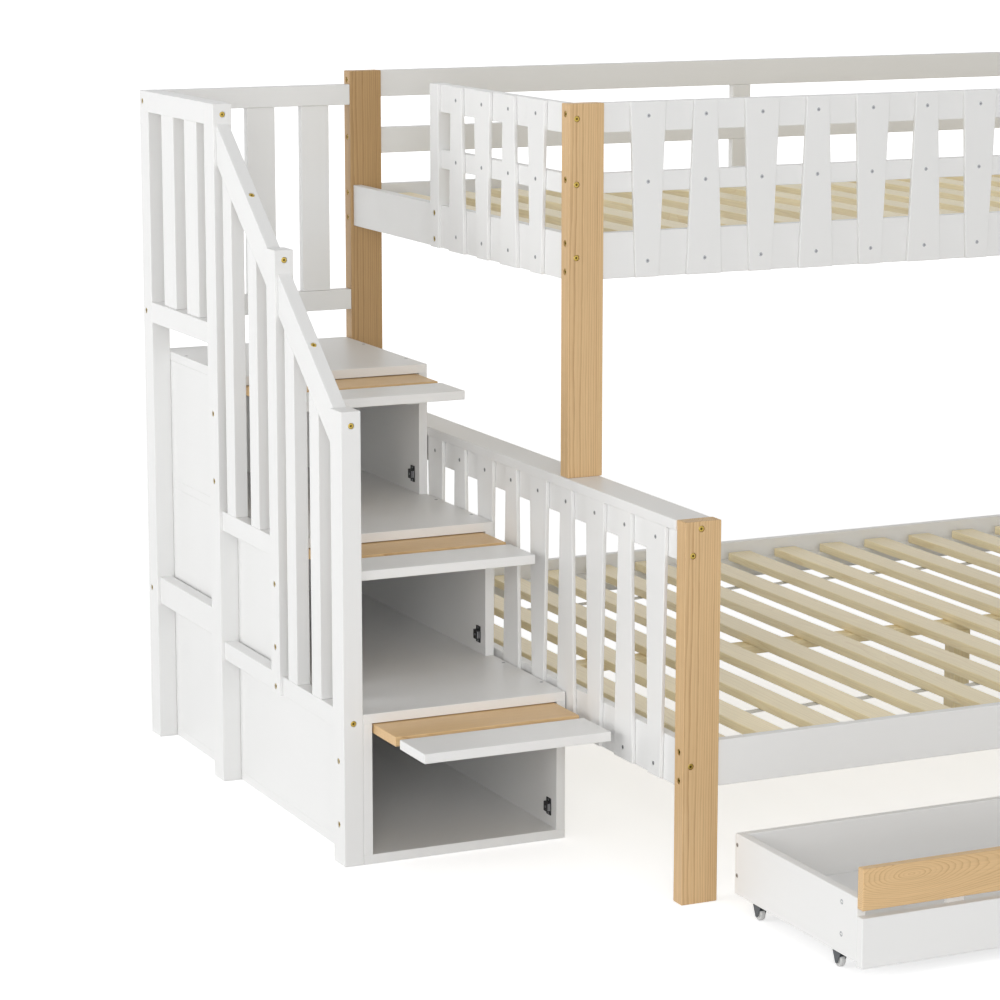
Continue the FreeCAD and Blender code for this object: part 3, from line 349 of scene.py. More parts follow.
def lathe(
    profile: list[tuple[float, float]],
    sides: int,
    tool: Tool | None = None,
    reach: float = 0.0,
) -> Surface:
    """Turns a profile round the z axis: p = (r cos t, r sin t, z).

    A driver's recess bends the rings inside its reach. A hex socket has
    r' = r cos 30 / cos((t mod 60) - 30), and a cross drops each point that lies
    within a slot's half width of either arm.

    Args:
        profile: Radius and height of each ring, from the lower end to the upper.
        sides: Points round each ring.
        tool: Recess in the head, or None.
        reach: Radius in metres within which the recess works.

    Returns:
        A closed surface whose end rings are capped; its tone is 1 in the recess, where a metal
        finish paints shade.
    """
    turn = np.arange(sides) / sides * 2 * math.pi
    rings = np.array(profile)
    radius = np.repeat(rings[:, :1], sides, axis=1)
    height = np.repeat(rings[:, 1:], sides, axis=1)
    top = height.max()
    recess = np.zeros_like(radius, dtype=bool)
    if tool is Tool.HEX:
        sixth = math.pi / 3
        flat = math.cos(sixth / 2) / np.cos(np.mod(turn, sixth) - sixth / 2)
        recess = (radius <= reach) & (height < top - 0.3 * MM)
        radius = np.where(radius <= reach, radius * flat, radius)
    if tool is Tool.CROSS:
        x, y = radius * np.cos(turn), radius * np.sin(turn)
        arm = np.minimum(np.abs(x), np.abs(y)) < reach * 0.3
        recess = (radius < reach) & arm & (height > top * 0.5)
        height = height - np.where(recess, top * 0.6, 0)
    points = np.stack([radius * np.cos(turn), radius * np.sin(turn), height], axis=-1)
    rows = len(profile)
    faces = grid_faces(rows, sides, closed=True)
    faces.append(tuple(reversed(range(sides))))
    faces.append(tuple(range((rows - 1) * sides, rows * sides)))
    flat_points = points.reshape(-1, 3)
    return Surface(flat_points, faces, flat_points.copy(), recess.ravel().astype(float))


def plate_of(outline: Array, thickness: float, bevel: float) -> Surface:
    """Makes a flat plate with bevelled rims from its outline in y and z.

    Each ring is the outline moved inwards along the mean of its two edges' normals,
    by the bevel at both faces and by nothing between them.

    Args:
        outline: Points (n, 2), anticlockwise seen from +X.
        thickness: How far it reaches along +X.
        bevel: Size of the rim's bevel.

    Returns:
        The closed plate, with its first face at x = 0.
    """
    edges = np.roll(outline, -1, axis=0) - outline
    normals = np.stack([edges[:, 1], -edges[:, 0]], axis=-1)
    normals /= np.linalg.norm(normals, axis=1, keepdims=True)
    mean = normals + np.roll(normals, 1, axis=0)
    mean /= np.maximum((mean**2).sum(1, keepdims=True) / 2, 0.5)
    inset = outline - mean * bevel
    rings = [(inset, 0.0), (outline, bevel), (outline, thickness - bevel), (inset, thickness)]
    points = np.concatenate([np.c_[np.full(len(ring), x), ring] for ring, x in rings])
    count = len(outline)
    faces = grid_faces(4, count, closed=True)
    faces.append(tuple(reversed(range(count))))
    faces.append(tuple(range(3 * count, 4 * count)))
    return Surface(points, faces)


def placed(shape: Surface, origin: Array, way: Array) -> Surface:
    """Stands a turned shape at a point, its own z axis along a direction.

    Args:
        shape: The shape round its own z axis.
        origin: Where its origin goes.
        way: The direction that its z axis takes.

    Returns:
        The moved surface.
    """
    z = way / np.linalg.norm(way)
    start = np.array([1.0, 0, 0]) if abs(z[0]) < 0.7 else np.array([0, 1.0, 0])
    x = np.cross(start, z)
    x /= np.linalg.norm(x)
    turn = np.stack([x, np.cross(z, x), z])
    return Surface(shape.points @ turn + origin, shape.faces, shape.grain, shape.tone)


# ------------------------------------------------------------------- building the pieces


def evaluated(piece: Piece) -> None:
    """Fixes a piece's modifiers into its mesh."""
    graph = bpy.context.evaluated_depsgraph_get()
    mesh = bpy.data.meshes.new_from_object(piece.evaluated_get(graph))
    old = piece.data
    piece.modifiers.clear()
    piece.data = mesh
    bpy.data.meshes.remove(old)


def new_object(name: str, surface: Surface) -> Piece:
    """Puts a surface into a mesh object of the scene.

    Args:
        name: The object's name.
        surface: What it shows.

    Returns:
        The object at the origin.
    """
    mesh = bpy.data.meshes.new(name)
    mesh.from_pydata(surface.points.tolist(), [], surface.faces)
    mesh.update()
    piece = bpy.data.objects.new(name, mesh)
    bpy.context.scene.collection.objects.link(piece)
    if surface.grain is not None:
        write_wood(mesh, surface.grain, surface.tone)
    return piece


def write_wood(mesh: bpy.types.Mesh, grain: Array, tone: Array) -> None:
    """Stores each point's place in the log and its board's tone.

    Args:
        mesh: The mesh that gets both attributes.
        grain: Along, across and deep, in metres, for each point.
        tone: A share from 0 to 1 for each point.
    """
    for name in ("grain", "tone"):
        if name in mesh.attributes:
            mesh.attributes.remove(mesh.attributes[name])
    vector = mesh.attributes.new("grain", "FLOAT_VECTOR", "POINT")
    vector.data.foreach_set("vector", grain.astype(np.float32).ravel())
    single = mesh.attributes.new("tone", "FLOAT", "POINT")
    single.data.foreach_set("value", tone.astype(np.float32))


def cut_away(piece: Piece, cutters: list[Surface], blocks: list[Surface]) -> None:
    """Cuts recesses out of boards, and finds the wood coordinates again.

    Args:
        piece: The boards, as one object.
        cutters: Closed surfaces to take away.
        blocks: The boards before the cut, in the same order.
    """
    cutter = new_object(piece.name + "_cutter", Surface.joined(cutters))
    cut = piece.modifiers.new("Recesses", "BOOLEAN")
    cut.operation = "DIFFERENCE"
    cut.solver = "EXACT"
    cut.object = cutter
    evaluated(piece)
    bpy.data.meshes.remove(cutter.data)
    mesh = piece.data
    points = np.empty(len(mesh.vertices) * 3, np.float32)
    mesh.vertices.foreach_get("co", points)
    points = points.reshape(-1, 3).astype(float)
    grain = np.zeros_like(points)
    tone = np.zeros(len(points))
    margin = 0.5 * MM
    for block in blocks:
        low, high = block.points.min(0) - margin, block.points.max(0) + margin
        inside = ((points > low) & (points < high)).all(1)
        place, *_ = np.linalg.lstsq(
            np.c_[block.points, np.ones(len(block.points))], block.grain, rcond=None
        )
        grain[inside] = np.c_[points[inside], np.ones(inside.sum())] @ place
        tone[inside] = block.tone[0]
    write_wood(mesh, grain, tone)


def mesh_outwards(piece: Piece) -> None:
    """Turns every face of a closed mesh outwards."""
    held = bmesh.new()
    held.from_mesh(piece.data)
    bmesh.ops.recalc_face_normals(held, faces=held.faces)
    held.to_mesh(piece.data)
    held.free()


def soften(piece: Piece, angle: float = 40.0) -> None:
    """Shades the rounded edges smoothly and keeps the flat faces flat.

    Args:
        piece: The piece.
        angle: Edges that turn by more degrees than this stay sharp.
    """
    piece.data.shade_smooth()
    piece.data.set_sharp_from_angle(angle=math.radians(angle))
    weighted = piece.modifiers.new("Flat faces", "WEIGHTED_NORMAL")
    weighted.weight = 100
    weighted.keep_sharp = True
    evaluated(piece)


def dress(
    piece: Piece,
    finish: "Finish",
    body: str,
    nodes: tuple[str, ...] = (),
) -> Piece:
    """Gives a piece its finish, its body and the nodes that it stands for.

    Args:
        piece: The finished mesh.
        finish: Its material.
        body: The CAD body that it moves with.
        nodes: The CAD nodes that it stands for.

    Returns:
        The piece.
    """
    piece.data.materials.clear()
    piece.data.materials.append(finish.material())
    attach(piece, body)
    if nodes:
        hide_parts(*nodes)
    LOG.info("%s: %d faces on %s", piece.name, len(piece.data.polygons), body)
    return piece


def finished(
    name: str,
    parts: list[Surface],
    finish: "Finish",
    body: str,
    nodes: tuple[str, ...] = (),
    angle: float = 40.0,
    outwards: bool = False,
) -> Piece:
    """Joins surfaces into one piece, softens it and dresses it.

    Args:
        name: The piece's name.
        parts: Its surfaces.
        finish: Its material.
        body: The CAD body that it moves with.
        nodes: The CAD nodes that it stands for.
        angle: Edges that turn by more degrees than this stay sharp.
        outwards: Whether its faces still have to be turned outwards.

    Returns:
        The piece.
    """
    piece = new_object(name, Surface.joined(parts))
    if outwards:
        mesh_outwards(piece)
    soften(piece, angle)
    return dress(piece, finish, body, nodes)


# ---------------------------------------------------------------------------- finishes


class Graph:
    """A short way to add and link the nodes of one tree."""

    def __init__(self, tree: bpy.types.NodeTree) -> None:
        """Keeps the tree that nodes are added to, and its shader if it has one."""
        self.tree = tree
        self.shader = tree.nodes.get("Principled BSDF")

    def add(self, kind: str, settings: dict | None = None, **inputs: object) -> bpy.types.Node:
        """Adds a node.

        Args:
            kind: The node's type, such as ShaderNodeMath.
            settings: Properties of the node itself.
            **inputs: Socket names, with spaces as underscores, or n0, n1 for numbers.
                A socket is linked, and anything else is set as the value.

        Returns:
            The node.
        """
        node = self.tree.nodes.new(kind)
        for name, value in (settings or {}).items():
            setattr(node, name, value)
        for name, value in inputs.items():
            numbered = name[0] == "n" and name[1:].isdigit()
            socket = node.inputs[int(name[1:]) if numbered else name.replace("_", " ")]
            if isinstance(value, Socket):
                self.tree.links.new(value, socket)
            else:
                socket.default_value = value
        return node

    def attribute(self, name: str, output: str) -> Socket:
        """Reads a stored attribute, as a Vector or a Fac."""
        return self.add("ShaderNodeAttribute", {"attribute_name": name}).outputs[output]

    def feed(self, name: str, value: Socket) -> None:
        """Links a value to one of the shader's sockets."""
        self.tree.links.new(value, self.shader.inputs[name])

    def fix(self, **values: object) -> None:
        """Sets the shader's own sockets by name, with spaces as underscores."""
        for name, value in values.items():
            self.shader.inputs[name.replace("_", " ")].default_value = value

    def bump(self, height: Socket, depth: float) -> None:
        """Links a height of 0 to 1 to the shader's normal, with its depth in metres."""
        node = self.add("ShaderNodeBump", Strength=1.0, Distance=depth, Height=height)
        self.feed("Normal", node.outputs[0])

    def speckle(self, fineness: float) -> dict[str, Socket]:
        """Places the shared speckle on object coordinates.

        Args:
            fineness: Cells a metre of the fine part.

        Returns:
            The group's outputs by name.
        """
        place = self.add("ShaderNodeTexCoord").outputs["Object"]
        node = self.add(
            "ShaderNodeGroup", {"node_tree": speckle_group()}, Place=place, Fineness=fineness
        )
        return {s.name: s for s in node.outputs}

    def give(self, **results: Socket) -> None:
        """Links results to the outputs of a group by name."""
        end = self.tree.nodes.new("NodeGroupOutput")
        for name, value in results.items():
            self.tree.links.new(value, end.inputs[name])

    def math(self, operation: str, *values: object) -> Socket:
        """Adds a Math node and returns its output.

        Args:
            operation: The node's operation.
            *values: Sockets or numbers, in order.

        Returns:
            The result's socket.
        """
        named = {f"n{k}": value for k, value in enumerate(values)}
        return self.add("ShaderNodeMath", {"operation": operation}, **named).outputs[0]

    def mix(self, share: object, first: object, second: object, how: str = "MIX") -> Socket:
        """Adds a colour mix and returns its output.

        Args:
            share: How much of the second colour.
            first: The first colour.
            second: The second colour.
            how: The blend type.

        Returns:
            The mixed colour's socket.
        """
        node = self.add("ShaderNodeMix", {"data_type": "RGBA", "blend_type": how})
        for number, value in ((0, share), (6, first), (7, second)):
            if isinstance(value, Socket):
                self.tree.links.new(value, node.inputs[number])
            else:
                node.inputs[number].default_value = value
        return node.outputs[2]

    def ramp(self, value: Socket, start: float, end: float, low: float, high: float) -> Socket:
        """Maps a range of values softly onto another, held at both ends.

        Args:
            value: The value's socket.
            start: Where the first range starts.
            end: Where it ends.
            low: What start becomes.
            high: What end becomes.

        Returns:
            The mapped value's socket.
        """
        return self.add(
            "ShaderNodeMapRange",
            {"interpolation_type": "SMOOTHSTEP"},
            Value=value,
            From_Min=start,
            From_Max=end,
            To_Min=low,
            To_Max=high,
        ).outputs[0]

    def stretched_noise(self, vector: Socket, scale: Triple, detail: float) -> Socket:
        """Adds noise that has its own scale along each axis.

        Args:
            vector: The coordinates.
            scale: Cells a metre along each axis.
            detail: Octaves of the noise.

        Returns:
            The noise, from 0 to 1.
        """
        place = self.add("ShaderNodeMapping", n0=vector, Scale=scale)
        noise = self.add(
            "ShaderNodeTexNoise", n0=place.outputs[0], Scale=1.0, Detail=detail, Roughness=0.55
        )
        return noise.outputs[0]


def new_group(
    name: str, inputs: dict[str, object], outputs: list[str]
) -> tuple[bpy.types.NodeTree, Graph, dict]:
    """Starts a shader node group with named sockets.

    Args:
        name: The group's name.
        inputs: Socket names and defaults, a float or a vector of three.
        outputs: Names of the outputs, each a float.

    Returns:
        The tree, its graph, and its input sockets by name.
    """
    tree = bpy.data.node_groups.new(name, "ShaderNodeTree")
    for label, value in inputs.items():
        kind = "NodeSocketVector" if isinstance(value, tuple) else "NodeSocketFloat"
        socket = tree.interface.new_socket(label, in_out="INPUT", socket_type=kind)
        socket.default_value = value
    for label in outputs:
        tree.interface.new_socket(label, in_out="OUTPUT", socket_type="NodeSocketFloat")
    start = tree.nodes.new("NodeGroupInput")
    return tree, Graph(tree), {s.name: s for s in start.outputs if s.name}


def log_group() -> bpy.types.NodeTree:
    """Builds, once, the pattern that a log's growth rings leave on a board.

    The pith sweeps through the log, deep' = deep + sweep * sin(2 pi along / wave), so
    that its distance r = sqrt(across^2 + deep'^2) + noise draws straight lines where
    the board is far from it and long ovals where it passes. Ring is the thin dark
    late wood, share^power of each ring's width, then a quick fall, and every ring has
    its own strength. Knots are scattered balls, round which the rings flow. Fibre is
    noise drawn out along the grain.

    Returns:
        The group, with Ring, Knot and Fibre from 0 to 1.
    """
    if "Log pattern" in bpy.data.node_groups:
        return bpy.data.node_groups["Log pattern"]
    tree, graph, given = new_group(
        "Log pattern",
        {
            "Grain": (0.0, 0.0, 0.0),
            "Pith": (0.0, 0.0, 0.0),
            "Spacing": 0.004,
            "Sweep": 0.01,
            "Wave": 1.0,
            "Wander": 0.006,
            "Jitter": 0.0012,
            "Late power": 4.0,
            "Knots": 0.0,
        },
        ["Ring", "Knot", "Fibre"],
    )
    from_pith = graph.add(
        "ShaderNodeVectorMath", {"operation": "SUBTRACT"}, n0=given["Grain"], n1=given["Pith"]
    ).outputs[0]
    along, across, deep = graph.add("ShaderNodeSeparateXYZ", n0=from_pith).outputs
    turn = graph.math("DIVIDE", graph.math("MULTIPLY", along, 2 * math.pi), given["Wave"])
    swept = graph.math("MULTIPLY_ADD", graph.math("SINE", turn), given["Sweep"], deep)
    squares = graph.math("MULTIPLY_ADD", across, across, graph.math("MULTIPLY", swept, swept))
    slow = graph.stretched_noise(given["Grain"], (2.5, 22.0, 22.0), 2.0)
    wander = graph.math("MULTIPLY", graph.math("SUBTRACT", slow, 0.5), given["Wander"])
    balls = graph.add("ShaderNodeTexVoronoi", Vector=given["Grain"], Scale=6.0).outputs["Distance"]
    near_knot = graph.ramp(balls, 0.02, 0.2, 1.0, 0.0)
    flow = graph.math("MULTIPLY", graph.math("MULTIPLY", near_knot, 0.012), given["Knots"])
    quick = graph.stretched_noise(given["Grain"], (14.0, 160.0, 160.0), 3.0)
    jitter = graph.math("MULTIPLY", graph.math("SUBTRACT", quick, 0.5), given["Jitter"])
    moved = graph.math("ADD", graph.math("ADD", wander, jitter), flow)
    distance = graph.math("ADD", graph.math("SQRT", squares), moved)
    rings = graph.math("DIVIDE", distance, given["Spacing"])
    share = graph.math("FRACT", rings)
    strength = graph.add(
        "ShaderNodeTexWhiteNoise", {"noise_dimensions": "1D"}, W=graph.math("FLOOR", rings)
    ).outputs[0]
    rise = graph.math("POWER", share, given["Late power"])
    fall = graph.ramp(share, 0.9, 1.0, 1.0, 0.0)
    uneven = graph.math("MULTIPLY_ADD", strength, 0.7, 0.3)
    ring = graph.math("MULTIPLY", graph.math("MULTIPLY", rise, fall), uneven)
    knot = graph.math("MULTIPLY", graph.ramp(balls, 0.025, 0.05, 1.0, 0.0), given["Knots"])
    fibre = graph.stretched_noise(given["Grain"], (9.0, 700.0, 700.0), 3.0)
    graph.give(Ring=ring, Knot=knot, Fibre=fibre)
    return tree


def speckle_group() -> bpy.types.NodeTree:
    """Builds, once, the fine unevenness of a sprayed, cast or drawn surface.

    Returns:
        The group, with Cloud (slow) and Peel (fine) from 0 to 1.
    """
    if "Surface speckle" in bpy.data.node_groups:
        return bpy.data.node_groups["Surface speckle"]
    tree, graph, given = new_group(
        "Surface speckle", {"Place": (0.0, 0.0, 0.0), "Fineness": 900.0}, ["Cloud", "Peel"]
    )
    cloud = graph.add("ShaderNodeTexNoise", n0=given["Place"], Scale=3.0, Detail=2.0).outputs[0]
    peel = graph.add(
        "ShaderNodeTexNoise", n0=given["Place"], Scale=given["Fineness"], Detail=2.0
    ).outputs[0]
    graph.give(Cloud=cloud, Peel=peel)
    return tree


@dataclass(frozen=True)
class Finish:
    """A finish with its record slot; each kind fills in its own shader."""

    slot: str
    colour: Colour
    roughness: float = 0.4
    variant: str = "finish"

    def material(self) -> bpy.types.Material:
        """Builds the material on first use.

        Returns:
            The Blender material, named after the slot and the variant.
        """
        name = f"{self.slot}_{self.variant}"
        if name in bpy.data.materials:
            return bpy.data.materials[name]
        made = bpy.data.materials.new(name)
        made.use_nodes = True
        graph = Graph(made.node_tree)
        graph.fix(Base_Color=self.colour, Roughness=self.roughness)
        self.fill(graph)
        return made

    def fill(self, graph: Graph) -> None:
        """Adds what is special to a kind of finish."""


@dataclass(frozen=True)
class Timber(Finish):
    """Clear or bare wood whose rings and fibres follow each board."""

    late: Colour = (0.3, 0.2, 0.1, 1.0)
    knot: Colour = (0.2, 0.1, 0.04, 1.0)
    pith: Triple = (0.0, 0.0, 0.05)
    spacing: float = 0.004
    sweep: float = 0.002
    wave: float = 1.2
    wander: float = 0.006
    jitter: float = 0.0012
    late_power: float = 4.0
    contrast: float = 0.6
    knots: float = 0.5
    tone_range: float = 0.1
    coat: float = 0.1

    def fill(self, graph: Graph) -> None:
        """Colours the wood by its rings, its fibres and each board's tone.

        Args:
            graph: The material's graph.
        """
        grain = graph.attribute("grain", "Vector")
        tone = graph.attribute("tone", "Fac")
        log = graph.add(
            "ShaderNodeGroup",
            {"node_tree": log_group()},
            Grain=grain,
            Pith=self.pith,
            Spacing=self.spacing,
            Sweep=self.sweep,
            Wave=self.wave,
            Wander=self.wander,
            Jitter=self.jitter,
            Late_power=self.late_power,
            Knots=self.knots,
        ).outputs
        dark = graph.math("MULTIPLY", log["Ring"], self.contrast)
        ringed = graph.mix(dark, self.colour, self.late)
        colour = graph.mix(log["Knot"], ringed, self.knot)
        fibre = graph.ramp(log["Fibre"], 0.3, 0.7, 0.94, 1.04)
        board = graph.ramp(tone, 0.0, 1.0, 1.0 - self.tone_range, 1.0 + self.tone_range * 0.3)
        patch = graph.ramp(graph.speckle(60.0)["Cloud"], 0.3, 0.7, 0.97, 1.03)
        level = graph.math("MULTIPLY", graph.math("MULTIPLY", fibre, board), patch)
        grey = graph.add("ShaderNodeCombineColor", n0=level, n1=level, n2=level).outputs[0]
        final = graph.mix(1.0, colour, grey, "MULTIPLY")
        graph.feed("Base Color", final)
        rough = graph.math("MULTIPLY_ADD", log["Ring"], -0.12, self.roughness)
        graph.feed("Roughness", rough)
        graph.fix(Coat_Weight=self.coat, Coat_Roughness=0.25)
        relief = graph.math("MULTIPLY_ADD", log["Ring"], 0.6, log["Fibre"])
        graph.bump(relief, 0.04 * MM)


@dataclass(frozen=True)
class Paint(Finish):
    """Satin paint over wood: faint rings and fibres show through, with a light peel."""

    shade: Colour = (0.7, 0.7, 0.7, 1.0)

    def fill(self, graph: Graph) -> None:
        """Lets a little of the wood show in the paint's relief and tone.

        Args:
            graph: The material's graph.
        """
        grain = graph.attribute("grain", "Vector")
        log = graph.add(
            "ShaderNodeGroup",
            {"node_tree": log_group()},
            Grain=grain,
            Pith=(0.0, 0.0, 0.06),
            Spacing=0.006,
            Wander=0.012,
        ).outputs
        speckle = graph.speckle(1400.0)
        soft = graph.math("MULTIPLY", graph.math("SUBTRACT", speckle["Cloud"], 0.35), 0.25)
        line = graph.math("MULTIPLY_ADD", log["Ring"], 0.05, soft)
        share = graph.add("ShaderNodeClamp", n0=line, Max=0.3).outputs[0]
        colour = graph.mix(share, self.colour, self.shade)
        graph.feed("Base Color", colour)
        rough = graph.math("MULTIPLY_ADD", speckle["Cloud"], 0.12, self.roughness - 0.06)
        graph.feed("Roughness", rough)
        relief = graph.math("MULTIPLY_ADD", log["Fibre"], 0.5, speckle["Peel"])
        raised = graph.math("MULTIPLY_ADD", log["Ring"], -0.5, relief)
        graph.bump(raised, 0.02 * MM)


@dataclass(frozen=True)
class Metal(Finish):
    """Plated metal with fine turning marks, a little tarnish and painted shade in the driver's
    recess.
    """

    tarnish: Colour = (0.2, 0.18, 0.12, 1.0)
    # Painted shade for the driver's recess.
    recess_shade: Colour = (0.04, 0.035, 0.025, 1.0)
    metallic: float = 1.0

    def fill(self, graph: Graph) -> None:
        """Breaks up the plating's colour and shine, and paints shade into the driver's recess.

        Args:
            graph: The material's graph.
        """
        speckle = graph.speckle(2500.0)
        recess = graph.attribute("tone", "Fac")
        worn = graph.mix(graph.math("MULTIPLY", speckle["Peel"], 0.4), self.colour, self.tarnish)
        colour = graph.mix(graph.math("MULTIPLY", recess, 0.9), worn, self.recess_shade)
        graph.feed("Base Color", colour)
        graph.fix(Metallic=self.metallic)
        rough = graph.math("MULTIPLY_ADD", speckle["Peel"], 0.2, self.roughness - 0.1)
        graph.feed("Roughness", rough)
        graph.bump(speckle["Peel"], 0.01 * MM)


@dataclass(frozen=True)
class Plastic(Finish):
    """Moulded plastic with a fine spark-eroded texture."""

    def fill(self, graph: Graph) -> None:
        """Adds the mould's texture.

        Args:
            graph: The material's graph.
        """
        speckle = graph.speckle(3000.0)
        rough = graph.math("MULTIPLY_ADD", speckle["Peel"], 0.2, self.roughness - 0.1)
        graph.feed("Roughness", rough)
        darker = tuple(v * 0.8 for v in self.colour[:3]) + (1.0,)
        colour = graph.mix(graph.math("MULTIPLY", speckle["Cloud"], 0.5), self.colour, darker)
        graph.feed("Base Color", colour)
        graph.bump(speckle["Peel"], 0.02 * MM)


@dataclass(frozen=True)
class Webbing(Finish):
    """Woven tape: two sets of threads cross at right angles."""

    pitch: float = 0.0016

    def fill(self, graph: Graph) -> None:
        """Draws the weave from two waves across and along the tape.

        Args:
            graph: The material's graph.
        """
        grain = graph.attribute("grain", "Vector")
        parts = graph.add("ShaderNodeSeparateXYZ", n0=grain).outputs
        turns = 2 * math.pi / self.pitch
        along = graph.math("SINE", graph.math("MULTIPLY", parts[0], turns))
        across = graph.math("SINE", graph.math("MULTIPLY", parts[1], turns))
        weave = graph.math("MULTIPLY_ADD", graph.math("MULTIPLY", along, across), 0.5, 0.5)
        darker = tuple(v * 0.75 for v in self.colour[:3]) + (1.0,)
        graph.feed("Base Color", graph.mix(weave, darker, self.colour))
        graph.fix(Sheen_Weight=0.3)
        graph.bump(weave, 0.2 * MM)


WHITE = Paint("white_board", srgb(238, 238, 237), 0.38, shade=srgb(222, 222, 221))
PINE_POST = Timber(
    "pine_post",
    srgb(220, 186, 138),
    0.5,
    late=srgb(168, 122, 72),
    knot=srgb(140, 98, 58),
    pith=(0.0, -0.05, 0.03),
    spacing=0.0034,
    sweep=0.001,
    wander=0.006,
    jitter=0.0022,
    late_power=2.0,
    contrast=0.95,
    knots=0.5,
    tone_range=0.03,
)
# A darker copy of the pine post finish: painted shade for the rear posts, which stand in shade
# under the upper bed.
SHADED_POST = replace(
    PINE_POST,
    variant="painted_shade",
    colour=srgb(190, 155, 107),
    late=srgb(143, 102, 59),
    knot=srgb(122, 82, 46),
)
PINE_STRIP = Timber(
    "pine_strip",
    srgb(224, 189, 139),
    0.45,
    late=srgb(168, 118, 64),
    knot=srgb(150, 106, 62),
    pith=(0.0, 0.0, 0.0),
    spacing=0.0027,
    sweep=0.045,
    wave=0.95,
    wander=0.008,
    jitter=0.0016,
    late_power=4.5,
    contrast=0.85,
    knots=0.0,
    tone_range=0.04,
)
PINE_SLAT = Timber(
    "pine_slat",
    srgb(253, 238, 197),
    0.4,
    late=srgb(232, 205, 148),
    knot=srgb(190, 150, 96),
    pith=(0.0, 0.02, 0.03),
    spacing=0.006,
    sweep=0.02,
    wander=0.02,
    contrast=0.6,
    knots=0.5,
    tone_range=0.06,
    coat=0.2,
)
# The last colour of each metal is painted shade in the driver's recess.
BRASS = Metal(
    "brass_bolt", srgb(196, 170, 88), 0.34, tarnish=srgb(120, 100, 46), recess_shade=srgb(86, 72, 36)
)
STEEL = Metal(
    "bright_steel", srgb(182, 183, 186), 0.3, tarnish=srgb(122, 124, 128), recess_shade=srgb(104, 105, 108)
)
FORK = Metal("dark_fork", srgb(82, 86, 90), 0.42, tarnish=srgb(52, 55, 58), metallic=0.4)
BLACK = Plastic("black_plastic", srgb(38, 38, 40), 0.45)
WHEEL = Plastic("pale_wheel", srgb(214, 214, 213), 0.3)
TAPE = Webbing("webbing", srgb(240, 240, 236), 0.8)


# ---------------------------------------------------------------------- sub-assemblies


@dataclass
class Joinery:
    """Boards of one CAD node, made again with rounded edges."""

    finish: Finish
    edge: float = 2.0 * MM
    grain: Grain = Grain.LONGEST
    rng: Random = field(default_factory=lambda: np.random.default_rng(SEED))
    in_log: Triple | None = None

    def blocks(self, corners: list[Array]) -> list[Surface]:
        """Makes a rounded block for each set of corners."""
        return [
            rounded_block(c, self.edge, self.grain, self.rng, self.in_log) for c in corners
        ]

    def make(
        self,
        node: str,
        body: str,
        corners: list[Array] | None = None,
        cutters: list[Surface] | None = None,
    ) -> Piece:
        """Builds a node's boards as one piece and dresses it.

        Args:
            node: The CAD node that it stands for.
            body: The CAD body that it moves with.
            corners: The boards' corners, or None to read them from the node.
            cutters: Surfaces to cut away, or None.

        Returns:
            The piece.
        """
        if corners is None:
            corners = [eight_corners(points) for points in islands(node)]
        blocks = self.blocks(corners)
        piece = new_object(node + "_dressed", Surface.joined(blocks))
        if cutters:
            cut_away(piece, cutters, blocks)
        soften(piece)
        return dress(piece, self.finish, body, (node,))


@dataclass
class Bolts:
    """Furniture bolts with a hex socket, each at the bottom of a counterbore."""

    node: str = "frame_bolts"
    head_radius: float = 5.0 * MM
    head_height: float = 3.0 * MM
    head_depth: float = 1.0 * MM
    shank_radius: float = 3.0 * MM
    socket_radius: float = 2.3 * MM
    recess_radius: float = 5.6 * MM
    recess_depth: float = 4.0 * MM

    def __post_init__(self) -> None:
        """Reads each bolt's place, direction and length from the CAD node."""
        self.places = [self.axis_of(points) for points in islands(self.node)]

    def axis_of(self, points: Array) -> tuple[Array, Array, float]:
        """Finds a bolt's axis as the longest spread of its points.

        Args:
            points: The bolt's points (n, 3).

        Returns:
            The middle of the head's outer face, the outward direction and the length.
        """
        centre = (points.min(0) + points.max(0)) / 2
        offsets = points - points.mean(0)
        axis = np.linalg.svd(offsets, full_matrices=False)[2][0]
        along = (points - centre) @ axis
        away = np.linalg.norm(points - centre - np.outer(along, axis), axis=1)
        wide = away > self.head_radius * 0.9
        if along[wide].mean() < 0:
            axis, along = -axis, -along
        axis_line = points[wide & (along > along.max() - 0.1 * MM)].mean(0)
        return axis_line, axis, float(along.max() - along.min())

    def recesses(self, corners: list[Array]) -> list[Surface]:
        """Makes the counterbores that open in the given boards.

        Args:
            corners: The boards' corners.

        Returns:
            A plug for each bolt whose head lies in one of the boards.
        """
        reach = self.recess_depth - self.head_depth
        plug = lathe(
            [(self.recess_radius, -reach), (self.recess_radius, 2 * MM)],
            28,
        )
        found = []
        for head, way, _ in self.places:
            for board in corners:
                low, high = board.reshape(-1, 3).min(0), board.reshape(-1, 3).max(0)
                if (head > low).all() and (head < high).all():
                    found.append(placed(plug, head, way))
        return found

    def build(self) -> Piece:
        """Makes every bolt as one piece.

        Returns:
            The dressed piece.
        """
        r, h, s = self.head_radius, self.head_height, self.socket_radius
        parts = []
        for head, way, length in self.places:
            shape = lathe(
                [
                    (self.shank_radius, -length),
                    (self.shank_radius, -h),
                    (r, -h),
                    (r, -0.7 * MM),
                    (r - 0.2 * MM, -0.25 * MM),
                    (r - 0.8 * MM, 0.0),
                    (s, -0.1 * MM),
                    (s, -1.9 * MM),
                ],
                24,
                Tool.HEX,
                s + 0.01 * MM,
            )
            parts.append(placed(shape, head, way))
        return finished("bolts_dressed", parts, BRASS, ROOT, (self.node,), 35.0)


